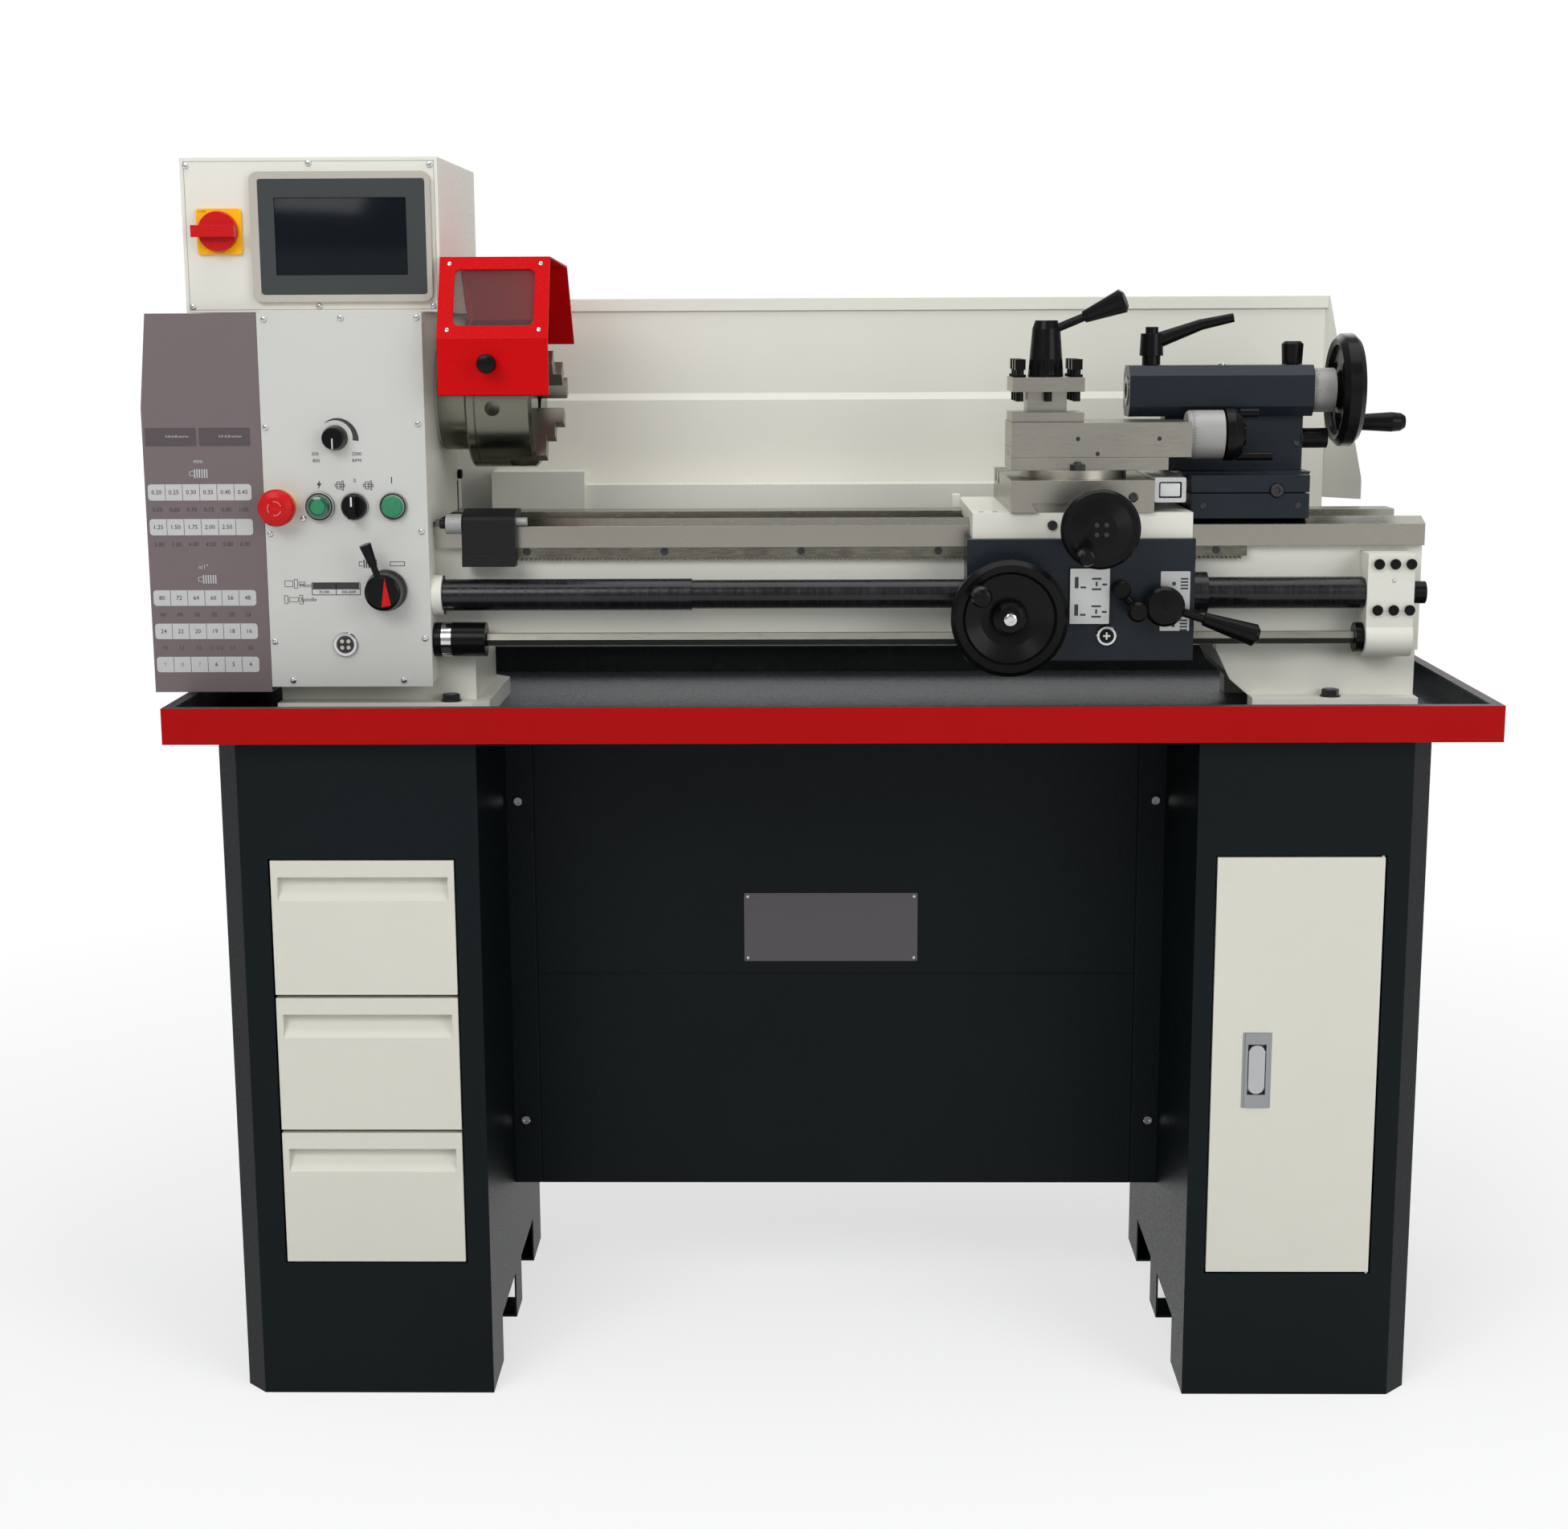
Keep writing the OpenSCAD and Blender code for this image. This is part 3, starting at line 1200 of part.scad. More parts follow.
// Clamp nut of the toolpost with its slanted lever
module toolpost_lever() {
    z0 = post_z1 + gap;
    color([0.06, 0.06, 0.06]) {
        difference() {
            translate([post_x, pivot_y, z0]) cylinder(h = 50, r1 = 19, r2 = 15);
            zbar(post_x, pivot_y, z0 - 1, post_z1 + 21, 8 + run);
        }
        translate([post_x, pivot_y, z0 + 50]) cylinder(h = 9, r1 = 15, r2 = 12);
        translate([post_x, pivot_y, z0 + 46]) rotate([0, 0, -18]) rotate([0, 68, 0]) {
            cylinder(h = 52, r = 4.5);
            translate([0, 0, 44]) cylinder(h = 44, r1 = 6.5, r2 = 13);
            translate([0, 0, 88]) cylinder(h = 3, r1 = 13, r2 = 9);
        }
    }
}

// Feed engagement lever: round hub, ball knob on a short arm
module feed_lever() {
    x = 322;
    z = 882;
    y = apron_y0 - 0.4;
    color([0.06, 0.06, 0.06]) {
        turned_front(x, z, y, [[0, 0], [9.5, 0], [9.5, 12], [8, 14], [0, 14]]);
        ybar(x, z, y - 1, apron_y0 + 8, 6);
        translate([x, y - 8, z]) rotate([0, 144, 0]) translate([0, 0, 6]) cylinder(h = 16, r = 4);
        turned_front(x + 13, z - 19, y - 4, [[0, 0], [4, 0], [4, 19], [6, 22], [10.5, 27], [10.5, 39], [8, 43], [0, 43]]);
    }
}

// Half nut lever: round hub with a long tapered grip
module half_nut_lever() {
    x = 366;
    z = 866;
    y = apron_y0 - 6.4;
    color([0.06, 0.06, 0.06]) {
        turned_front(x, z, y, [[0, 0], [20, 0], [21, 4], [21, 16], [18, 20], [0, 21]]);
        ybar(x, z, y - 1, apron_y0 + 8, 7);
        translate([x, y - 10, z]) rotate([0, 108, 0]) {
            translate([0, 0, 16]) cylinder(h = 34, r = 4.5);
            translate([0, 0, 44]) cylinder(h = 56, r1 = 7, r2 = 12);
            translate([0, 0, 100]) cylinder(h = 4, r1 = 12, r2 = 8);
        }
    }
}

// ---------- tailstock ----------

module tailstock() {
    base_z0 = way_side_z + gap;
    low_z = 1000;
    barrel_z = axis_z;
    color([0.18, 0.22, 0.27]) {
        difference() {
            union() {
                // barrel with chamfered edges
                along_x(tail_x0, tail_x1) polygon([for (p = [[-1, -0.6], [-1, 0.6], [-0.62, 1], [0.62, 1],
                    [1, 0.6], [1, -0.6], [0.62, -1], [-0.62, -1]]) [p[0] * tail_half, barrel_z + p[1] * (tail_half - 0.5)]]);
                // column, skirt and base castings
                block([383, -9, low_z - 2], [534, 24, barrel_z - tail_half + 4]);
                along_y(-60, 60) polygon([[tail_base_x0, low_z - 21], [tail_base_x0, low_z - 10], [396, low_z],
                                          [534, low_z], [tail_base_x1, low_z - 12], [tail_base_x1, low_z - 21]]);
                block([tail_base_x0, -92, low_z - 20], [tail_base_x1, 92, low_z - 2]);
                block([tail_base_x0, -92, base_z0 + 6], [tail_base_x1, 92, low_z - 21.4]);
                block([tail_base_x0 + 4, -88, low_z - 22], [tail_base_x1 - 4, 88, low_z - 19]);
            }
            xbar(tail_x0 - 1, tail_x1 + 1, 0, barrel_z, quill_d / 2 + run);
            // grooves over the ways
            along_x(tail_base_x0 - 1, tail_base_x1 + 1) {
                polygon([[-100, base_z0 - 1], [-100, way_side_z + gap + 6.2], [-half - 1, way_side_z + gap],
                         [-half + way_w / 2, ridge_z + 2 * gap], [-half + way_w + 1, way_side_z + gap],
                         [-half + way_w + 1, base_z0 - 1]]);
                polygon([[half - way_w - 1, base_z0 - 1], [half - way_w - 1, flat_z + gap],
                         [100, flat_z + gap], [100, base_z0 - 1]]);
            }
            ybar(492, low_z - 18, -93, -84, 7.5);
            // seats of the two clamp levers
            zbar(368, 0, barrel_z + 20, barrel_z + tail_half + 1, 7 + run);
            zbar(524, 12, barrel_z + 18, barrel_z + tail_half + 1, 6 + run);
        }
        // black stop stud at the back end
        xbar(533, 562, 0, barrel_z - 52, 11);
    }
}

module quill() {
    color([0.68, 0.67, 0.65]) difference() {
        xbar(tail_x0 - 1, tail_x1 - 30, 0, axis_z, quill_d / 2);
        xbar(tail_x0 - 2, tail_x0 + 64, 0, axis_z, quill_bore / 2);
        xbar(tail_x0 + 60, tail_x1, 0, axis_z, 6 + run);
    }
}

// Dial, feed screw and spoked wheel of the tailstock
module tailstock_handwheel() {
    r = big_wheel_d / 2;
    x = tail_x1 + 0.4;
    color([0.05, 0.05, 0.05]) {
        turned_right(x, 0, axis_z, [[0, 0], [24, 0], [24, 25], [19, 26], [19, 30], [0, 30]]);
        xbar(tail_x0 + 70, x + 1, 0, axis_z, 6);
        difference() {
            turned_right(x + 14, 0, axis_z, [[0, 14], [17, 14], [30, 18], [r - 13, 18], [r - 12, 14], [r - 6, 12], [r, 18],
                [r, 30], [r - 6, 36], [r - 12, 34], [r - 13, 28], [30, 26], [17, 34], [14, 37], [0, 37]]);
            for (k = [0 : 2]) translate([x, 0, axis_z]) rotate([k * 120 + 60, 0, 0])
                translate([0, 0, 33]) rotate([90, 0, 90]) wheel_window();
        }
        xbar(x + 44, x + 52, 26, axis_z - 36, 5);
        turned_right(x + 48, 26, axis_z - 36, [[0, 0], [8, 0], [9, 14], [11, 48], [10, 58], [7, 63], [0, 64]]);
    }
}

// One opening between two spokes of the tailstock handwheel
module wheel_window() {
    linear_extrude(80) hull() {
        for (a = [-38, 0, 38]) rotate(a) translate([0, 8]) circle(r = 4, $fn = 24);
        for (x = [-14, 14]) translate([x, -4]) circle(r = 4, $fn = 24);
    }
}

// Quill locking lever with a ratchet hub
module quill_lock() {
    z0 = axis_z + tail_half - 0.2;
    color([0.06, 0.06, 0.06]) {
        zbar(368, 0, axis_z + 24, z0 + 2, 7);
        translate([368, 0, z0]) cylinder(h = 10, r = 10);
        translate([368, 0, z0 + 10]) cylinder(h = 24, r1 = 13, r2 = 12);
        translate([368, 0, z0 + 34]) cylinder(h = 7, r = 7);
        translate([368, 0, z0 + 24]) rotate([0, 0, -4]) rotate([0, 70, 0]) {
            translate([0, 0, 8]) cylinder(h = 50, r1 = 8.5, r2 = 6);
            translate([0, 0, 56]) rotate([0, 8, 0]) cylinder(h = 36, r1 = 6, r2 = 5);
        }
    }
}

// Short clamp lever at the back of the tailstock
module tailstock_clamp() {
    z0 = axis_z + tail_half - 0.2;
    color([0.06, 0.06, 0.06]) {
        zbar(524, 12, axis_z + 22, z0 + 4, 6);
        translate([524, 12, z0]) {
            cylinder(h = 22, r1 = 11, r2 = 12);
            translate([0, 0, 22]) cylinder(h = 3, r1 = 12, r2 = 9);
        }
    }
}

left_pedestal();
right_pedestal();
back_panel();
chip_tray();
top_drawer();
middle_drawer();
bottom_drawer();
cupboard_door();
door_latch();
bed();
rack();
carriage_stop();
end_bracket();
splash_guard();
lead_screw();
feed_rod();
left_cover_outer();
left_cover_inner();
right_cover_outer();
right_cover_inner();
headstock();
end_cover();
control_plate();
speed_knob();
emergency_stop();
direction_switch();
start_button();
gear_lever();
spindle();
layshaft();
change_gear();
feed_gear();
motor();
motor_pulley();
drive_belt();
control_box();
isolator_knob();
chuck_body();
chuck_jaw_1();
chuck_jaw_2();
chuck_jaw_3();
chuck_guard();
guard_window();
saddle();
apron();
carriage_handwheel();
cross_slide();
cross_handwheel();
swivel_base();
top_slide();
top_handwheel();
toolpost();
toolpost_lever();
feed_lever();
half_nut_lever();
tailstock();
quill();
tailstock_handwheel();
quill_lock();
tailstock_clamp();
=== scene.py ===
"""Looks of the bench lathe: materials for the solids, small fittings, markings, lights, camera.

The helpers take millimetres and Blender gets metres. X runs along the bed, Y away from the
operator, Z up.
"""

import math

import bmesh
import bpy
from mathutils import Matrix, Vector


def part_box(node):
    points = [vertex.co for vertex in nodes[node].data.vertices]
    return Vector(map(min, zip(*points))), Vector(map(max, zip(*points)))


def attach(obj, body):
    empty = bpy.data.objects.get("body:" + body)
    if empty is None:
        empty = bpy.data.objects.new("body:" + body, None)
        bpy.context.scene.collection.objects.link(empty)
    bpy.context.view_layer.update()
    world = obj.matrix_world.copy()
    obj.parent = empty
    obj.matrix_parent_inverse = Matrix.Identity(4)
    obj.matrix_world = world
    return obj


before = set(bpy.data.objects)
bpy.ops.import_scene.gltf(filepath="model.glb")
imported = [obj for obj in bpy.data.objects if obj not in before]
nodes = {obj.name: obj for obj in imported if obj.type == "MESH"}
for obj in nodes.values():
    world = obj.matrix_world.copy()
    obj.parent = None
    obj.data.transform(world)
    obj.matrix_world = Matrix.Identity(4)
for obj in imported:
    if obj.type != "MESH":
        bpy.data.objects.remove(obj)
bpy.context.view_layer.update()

MM = 0.001
FAR = 3000  # past the machine on every side
FRONT, RIGHT, UP = (0, -1, 0), (1, 0, 0), (0, 0, 1)


def node_box(name):
    """Lowest and highest corner of a CAD node, in millimetres."""
    return [[v / MM for v in corner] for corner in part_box(name)]


# ---------------------------------------------------------------- places taken from the frame

PLATE_HIGH = node_box("control_plate")[1]
COVER_FRONT = node_box("end_cover")[0][1]
TRAY_LOW, TRAY_HIGH = node_box("chip_tray")
BOX_LOW, BOX_HIGH = node_box("control_box")
DOOR_FRONT = node_box("cupboard_door")[0][1]
LATCH_LOW, LATCH_HIGH = node_box("door_latch")
PANEL_LOW, PANEL_HIGH = node_box("back_panel")
SLIDE_LOW, SLIDE_HIGH = node_box("top_slide")
CROSS_FRONT = node_box("cross_slide")[0][1]
POST_LOW, POST_HIGH = node_box("toolpost")
GUARD_FRONT = node_box("chuck_guard")[0][1]
RACK_LOW, RACK_HIGH = node_box("rack")
STOP_LOW, STOP_HIGH = node_box("carriage_stop")
BRACKET_LOW = node_box("end_bracket")[0]
EMERGENCY_FRONT = node_box("emergency_stop")[0][1]

AXIS_Z = 1085.0  # the spindle's axis, at Y 0
SCREW_Y, SCREW_Z = -103, 874  # the lead screw's axis
WHEEL_X, WHEEL_Z = 202, 857  # the carriage handwheel's axis
CROSS_X, CROSS_Z = 292, 951  # the cross handwheel's axis
TOP_Y, TOP_Z = -62, 1040  # the top slide's screw
SADDLE_TOP = 962
PLATE_FRONT = -125.0
BOX_FRONT = -110.0
APRON_FRONT = -140.0
HEAD_RIGHT = PLATE_HIGH[0]
HEAD_TOP = PLATE_HIGH[2]
BUTTON_Z = AXIS_Z - 114
LAMP_X, STOP_X, SWITCH_X, START_X = -524, -566, -487, -446
KNOB_X, KNOB_Z = -505, AXIS_Z - 42
LEVER_X, LEVER_Z = -456, AXIS_Z - 203
SIGHT_X, SIGHT_Z = -502, AXIS_Z - 261
ISOLATOR_X, ISOLATOR_Z = -620, HEAD_TOP + 83


# ---------------------------------------------------------------- materials

RING_DEPTH = 0.05
BEVEL_SAMPLES = 4


class Shader:
    """A small helper around one material's node tree."""

    def __init__(self, name):
        self.material = bpy.data.materials.new(name)
        self.material.use_nodes = True
        self.tree = self.material.node_tree
        self.tree.nodes.clear()
        self.output = self.tree.nodes.new("ShaderNodeOutputMaterial").inputs["Surface"]
        self.coords = self.tree.nodes.new("ShaderNodeTexCoord").outputs["Object"]

    def feed(self, socket, value):
        """Links another socket to this one, or writes a plain value into it."""
        if isinstance(value, bpy.types.NodeSocket):
            self.tree.links.new(value, socket)
        else:
            socket.default_value = value

    def add(self, kind, settings=None, **inputs):
        node = self.tree.nodes.new("ShaderNode" + kind)
        for key, value in (settings or {}).items():
            setattr(node, key, value)
        for key, value in inputs.items():
            self.feed(node.inputs[key.replace("_", " ")], value)
        return node

    def math(self, operation, *values, kind="Math"):
        node = self.add(kind, {"operation": operation})
        for socket, value in zip(node.inputs, values):
            self.feed(socket, value)
        return node.outputs[0]

    def vector(self, operation, *values):
        return self.math(operation, *values, kind="VectorMath")

    def noise(self, scale, detail, roughness, stretch=None):
        where = self.vector("MULTIPLY", self.coords, stretch) if stretch else self.coords
        return self.add("TexNoise", Vector=where, Scale=scale, Detail=detail,
                        Roughness=roughness).outputs["Fac"]

    def blend(self, factor, a, b):
        """Mixes two colours."""
        node = self.add("Mix", {"data_type": "RGBA"})
        for index, value in ((0, factor), (6, a), (7, b)):
            self.feed(node.inputs[index], value)
        return node.outputs[2]

    def mix(self, factor, a, b):
        """Mixes two shaders."""
        node = self.add("MixShader", Fac=factor)
        self.feed(node.inputs[1], a)
        self.feed(node.inputs[2], b)
        return node.outputs[0]

    def spread(self, value, low, high, to_low, to_high):
        return self.add("MapRange", Value=value, From_Min=low, From_Max=high, To_Min=to_low,
                        To_Max=to_high).outputs["Result"]

    def bump(self, height, strength, depth, normal=None):
        """Relief of a depth in millimetres, over another normal where one is given."""
        node = self.add("Bump", Height=height, Strength=strength, Distance=depth * MM)
        if normal is not None:
            self.feed(node.inputs["Normal"], normal)
        return node.outputs["Normal"]

    def inside(self, low, high):
        """1 inside a box given in millimetres, 0 outside."""
        centre = [(a + b) / 2 * MM for a, b in zip(low, high)]
        half = [abs(b - a) / 2 * MM for a, b in zip(low, high)]
        away = self.vector("ABSOLUTE", self.vector("SUBTRACT", self.coords, centre))
        parts = self.add("SeparateXYZ", Vector=self.vector("SUBTRACT", away, half)).outputs
        widest = self.math("MAXIMUM", self.math("MAXIMUM", parts[0], parts[1]), parts[2])
        return self.math("LESS_THAN", widest, 0.0)

    def rings(self, centre, pitch):
        """Waves along and around a turned piece's X axis, for the marks of turning."""
        moved = self.vector("SUBTRACT", self.coords, [c * MM for c in centre])
        parts = self.add("SeparateXYZ", Vector=moved).outputs
        radius = self.math("SQRT", self.math("ADD", self.math("POWER", parts[1], 2.0),
                                             self.math("POWER", parts[2], 2.0)))
        along = self.math("ADD", radius, parts[0])
        return self.math("SINE", self.math("MULTIPLY", along, 2 * math.pi / (pitch * MM)))

    def surface(self, look):
        """A Principled shader for one style, with its own variation, roughness and relief."""
        color, vary, rough, rough_vary = [look[k] for k in ("color", "vary", "rough", "rough_vary")]
        dark = [c * (1 - vary) for c in color] + [1]
        light = [min(1.0, c * (1 + vary)) for c in color] + [1]
        cloud = self.noise(look["cloud"], 5.0, 0.6)
        tone = self.blend(self.spread(cloud, 0.3, 0.7, 0, 1), dark, light)
        fine = self.noise(look["grain"], 3.0, 0.5, look.get("stretch"))
        if "grain_tone" in look:
            streak = self.spread(fine, 0.35, 0.65, 1 - look["grain_tone"], 1 + look["grain_tone"])
            tone = self.add("VectorMath", {"operation": "SCALE"}, Vector=tone,
                            Scale=streak).outputs[0]
        if "soil" in look:
            amount, scale, soil_color = look["soil"]
            patches = self.spread(self.noise(scale, 6.0, 0.7), 0.55, 0.8, 0, amount)
            tone = self.blend(patches, tone, list(soil_color) + [1])
        gloss = self.spread(fine, 0.3, 0.7, rough * (1 - rough_vary),
                            min(1.0, rough * (1 + rough_vary)))
        normal = None
        if "edge" in look:
            normal = self.add("Bevel", {"samples": BEVEL_SAMPLES},
                              Radius=look["edge"] * MM).outputs[0]
        if "relief" in look:
            normal = self.bump(fine, *look["relief"], normal)
        if "rings" in look:
            centre, pitch, strength = look["rings"]
            normal = self.bump(self.rings(centre, pitch), strength, RING_DEPTH, normal)
        shader = self.add("BsdfPrincipled", Base_Color=tone, Roughness=gloss,
                          Metallic=look["metal"])
        for key, value in look.items():
            if key in shader.inputs:
                shader.inputs[key].default_value = value
        if normal is not None:
            self.feed(shader.inputs["Normal"], normal)
        return shader.outputs[0]


def style(color, rough=0.4, metal=0.0, vary=0.03, cloud=6.0, grain=300.0, rough_vary=0.15, **more):
    """What surface() needs. edge is a worn edge's radius; relief is (strength, depth);
    soil is (amount, scale, colour); rings is (centre, pitch, strength); lengths are in mm."""
    return dict(color=color, rough=rough, metal=metal, vary=vary, cloud=cloud, grain=grain,
                rough_vary=rough_vary, **more)


CREAM = (0.745, 0.735, 0.662)
SOFT = {"Specular IOR Level": 0.2}
DULL = {"Specular IOR Level": 0.13}
CREAM_STYLE = style(CREAM, 0.33, cloud=5, grain=240, relief=(0.12, 0.25), edge=1.6,
                    soil=(0.10, 14.0, (0.34, 0.31, 0.26)), **SOFT)
SHEET_CREAM = style(CREAM, 0.30, vary=0.02, cloud=3, grain=420, relief=(0.06, 0.15), edge=1.0,
                    **SOFT)
STAND_STYLE = style((0.0030, 0.0066, 0.0078), 0.40, vary=0.14, cloud=4, grain=520, rough_vary=0.25,
                    relief=(0.75, 0.5), edge=1.4, **DULL)
TRAY_STYLE = style((0.028, 0.033, 0.036), 0.34, vary=0.2, cloud=5, grain=430, rough_vary=0.4,
                   relief=(0.9, 0.6), soil=(0.5, 60.0, (0.10, 0.11, 0.115)), **SOFT)
RED_STYLE = style((0.385, 0.0003, 0.0008), 0.36, vary=0.04, cloud=3, grain=500,
                  relief=(0.05, 0.15), edge=0.8, **DULL)
GUARD_STYLE = style((0.56, 0.0004, 0.0022), 0.27, cloud=4, grain=450, relief=(0.05, 0.15),
                    edge=1.0, **DULL)
PANEL_STYLE = style((0.70, 0.685, 0.60), 0.34, vary=0.02, cloud=4, grain=600, relief=(0.10, 0.15),
                    edge=1.2, **SOFT)
PLATE_STYLE = style((0.61, 0.615, 0.575), 0.30, metal=0.10, vary=0.015, cloud=3, grain=700,
                    edge=0.5, rough_vary=0.08, grain_tone=0.006, **SOFT)
LABEL_STYLE = style((0.172, 0.138, 0.142), 0.32, cloud=2.5, grain=500, edge=1.0, **SOFT)
SLATE_STYLE = style((0.0125, 0.0185, 0.0245), 0.27, vary=0.08, cloud=8, grain=260,
                    relief=(0.18, 0.25), edge=1.8, **SOFT)
STEEL_STYLE = style((0.35, 0.335, 0.29), 0.31, metal=1.0, vary=0.05, cloud=18, grain=900,
                    rough_vary=0.12, stretch=(0.06, 1, 1), grain_tone=0.02, edge=0.7,
                    soil=(0.02, 22.0, (0.20, 0.16, 0.11)))
STEEL_Y_STYLE = dict(STEEL_STYLE, stretch=(1, 0.06, 1))
WAY_STYLE = dict(STEEL_STYLE, rough=0.25, cloud=5, grain=1400, grain_tone=0.015,
                 soil=(0.05, 22.0, (0.20, 0.15, 0.10)))
TURNED_STYLE = style((0.235, 0.23, 0.19), 0.23, metal=1.0, vary=0.02, cloud=8, grain=600,
                     rough_vary=0.1, edge=0.8, rings=((0, 0, AXIS_Z), 0.6, 0.10))
DARK_STEEL_STYLE = style((0.045, 0.045, 0.048), 0.38, metal=0.7, vary=0.15, cloud=30, grain=700,
                         rough_vary=0.3, edge=0.8, relief=(0.15, 0.1))
RACK_STYLE = style((0.15, 0.14, 0.115), 0.36, metal=0.9, vary=0.2, cloud=30, grain=800,
                   rough_vary=0.3, stretch=(0.1, 1, 1), grain_tone=0.2)
BLACK_STYLE = style((0.0045, 0.0045, 0.0048), 0.24, vary=0.2, cloud=25, grain=600, rough_vary=0.2,
                    edge=0.9, relief=(0.05, 0.1), **DULL)
STOP_STYLE = style((0.010, 0.010, 0.011), 0.4, vary=0.1, cloud=12, grain=500, relief=(0.1, 0.1),
                   edge=1.2, **SOFT)
RUBBER_STYLE = style((0.012, 0.012, 0.012), 0.6, vary=0.2, cloud=30, grain=800,
                     relief=(0.2, 0.15))
SPRING_STYLE = style((0.012, 0.012, 0.014), 0.24, metal=0.35, vary=0.3, cloud=14, grain=240,
                     rough_vary=0.35, stretch=(1, 0.2, 0.2), grain_tone=0.25,
                     rings=((0, SCREW_Y, SCREW_Z), 11.0, 0.35))
CHROME_STYLE = style((0.62, 0.62, 0.62), 0.14, metal=1.0, vary=0.06, cloud=40, grain=900,
                     rough_vary=0.2)
MOTOR_STYLE = style((0.02, 0.035, 0.06), vary=0.08, cloud=10, grain=400, relief=(0.15, 0.2),
                    edge=1.2)
DIAL_STYLE = style((0.33, 0.33, 0.315), 0.5, metal=0.3, cloud=30, grain=900, rough_vary=0.2,
                   edge=0.6)
GLASS_STYLE = style((0.30, 0.25, 0.25), 0.07, vary=0.02, cloud=8, grain=200, rough_vary=0.05,
                    Alpha=0.10, IOR=1.45, **SOFT)
ZINC_STYLE = style((0.50, 0.51, 0.52), 0.3, metal=0.9, edge=0.8)
RECESS_STYLE = style((0.33, 0.34, 0.35), 0.35, metal=0.8, edge=0.6)


def material(name, base, *regions):
    """base everywhere, and each region's style inside its boxes: ([(low, high), ...], style)."""
    shader = Shader(name)
    result = shader.surface(base)
    for boxes, other in regions:
        mask = shader.inside(*boxes[0])
        for box in boxes[1:]:
            mask = shader.math("MAXIMUM", mask, shader.inside(*box))
        result = shader.mix(mask, result, shader.surface(other))
    shader.feed(shader.output, result)
    return shader.material


def slab(axis, low, high):
    """A box that is unlimited except along one axis."""
    a, b = [-FAR] * 3, [FAR] * 3
    a[axis], b[axis] = low, high
    return a, b


def dress(mat, *names):
    for name in names:
        mesh = nodes[name].data
        mesh.materials.clear()
        mesh.materials.append(mat)


stand_paint = material("stand_paint", STAND_STYLE)
cream_paint = material("cream_paint", CREAM_STYLE)
cream_sheet = material("cream_sheet", SHEET_CREAM)
panel_paint = material("panel_paint", PANEL_STYLE)
slate_paint = material("slate_paint", SLATE_STYLE)
guard_red = material("guard_red", GUARD_STYLE)
steel = material("ground_steel", STEEL_STYLE)
steel_y = material("ground_steel_across", STEEL_Y_STYLE)
turned_steel = material("turned_steel", TURNED_STYLE)
dark_steel = material("dark_steel", DARK_STEEL_STYLE)
black = material("black_plastic", BLACK_STYLE)
chrome = material("chrome", CHROME_STYLE)
rubber = material("rubber", RUBBER_STYLE)
spring_black = material("spring_black", SPRING_STYLE)
button_red = material("button_red", style((0.56, 0.006, 0.008), 0.28, vary=0.04, edge=0.8, **SOFT))
button_green = material("button_green", style((0.040, 0.235, 0.115), 0.28, vary=0.06, edge=0.6,
                                              **SOFT))

tray_inside = ([TRAY_LOW[0] + 1, TRAY_LOW[1] + 1, 0], [TRAY_HIGH[0] - 1, TRAY_HIGH[1] - 1, FAR])
latch_recess = ([LATCH_LOW[0] - 4.5, -FAR, LATCH_LOW[2] - 16],
                [LATCH_HIGH[0] + 4.5, DOOR_FRONT + 13, LATCH_HIGH[2] + 14])
stop_collars = [slab(0, STOP_LOW[0] + 7.2, STOP_LOW[0] + 24),
                slab(0, STOP_HIGH[0] - 11.9, STOP_HIGH[0] + 1)]
RING_X0, RING_X1 = HEAD_RIGHT + 9, HEAD_RIGHT + 19.5  # the shear coupling's bright ring
rod_ring = slab(0, RING_X0, RING_X1)
rod_black = [slab(0, HEAD_RIGHT + 0.5, RING_X0), slab(0, RING_X1, HEAD_RIGHT + 57),
             slab(0, 576.5, 586)]
tail_stud = ([534.5, -40, 1015], [570, 40, 1050])
POST_FLOOR, POST_SLOT, POST_TOP = POST_LOW[2] + 10.05, POST_LOW[2] + 31.6, 1102.05
POST_X0, POST_Y0, POST_X1, POST_Y1 = (POST_LOW[0] - 1, POST_LOW[1] - 1, POST_HIGH[0] + 1,
                                      POST_HIGH[1] + 1)
post_steel = [([POST_X0, POST_Y0, POST_LOW[2] - 1], [POST_X1, POST_Y1, POST_FLOOR]),
              ([POST_X0, POST_Y0, POST_SLOT], [POST_X1, POST_Y1, POST_TOP]),
              ([225.5, -83.5, 1050], [268.5, -40.5, POST_TOP])]

dress(material("tray_paint", RED_STYLE, ([tray_inside], TRAY_STYLE)), "chip_tray")
dress(stand_paint, "left_pedestal", "right_pedestal", "back_panel")
dress(panel_paint, "top_drawer", "middle_drawer", "bottom_drawer")
dress(material("door_paint", PANEL_STYLE, ([latch_recess], RECESS_STYLE)), "cupboard_door")
dress(material("latch_zinc", ZINC_STYLE), "door_latch")
dress(material("bed_casting", CREAM_STYLE, ([slab(2, RACK_HIGH[2] - 0.2, FAR)], WAY_STYLE)), "bed")
dress(material("rack_steel", RACK_STYLE), "rack")
dress(material("stop_black", STOP_STYLE, (stop_collars, DIAL_STYLE)), "carriage_stop")
dress(cream_paint, "end_bracket", "headstock")
dress(cream_sheet, "splash_guard", "control_box")
dress(material("saddle_casting", CREAM_STYLE, ([slab(2, SADDLE_TOP + 0.05, FAR)], STEEL_Y_STYLE)),
      "saddle")
dress(material("lead_screw_steel", STEEL_STYLE, ([slab(0, 637.5, 700)], BLACK_STYLE)), "lead_screw")
dress(material("feed_rod_steel", STEEL_STYLE, (rod_black, BLACK_STYLE),
               ([rod_ring], CHROME_STYLE)), "feed_rod")
dress(spring_black, "left_cover_outer", "left_cover_inner", "right_cover_outer",
      "right_cover_inner")
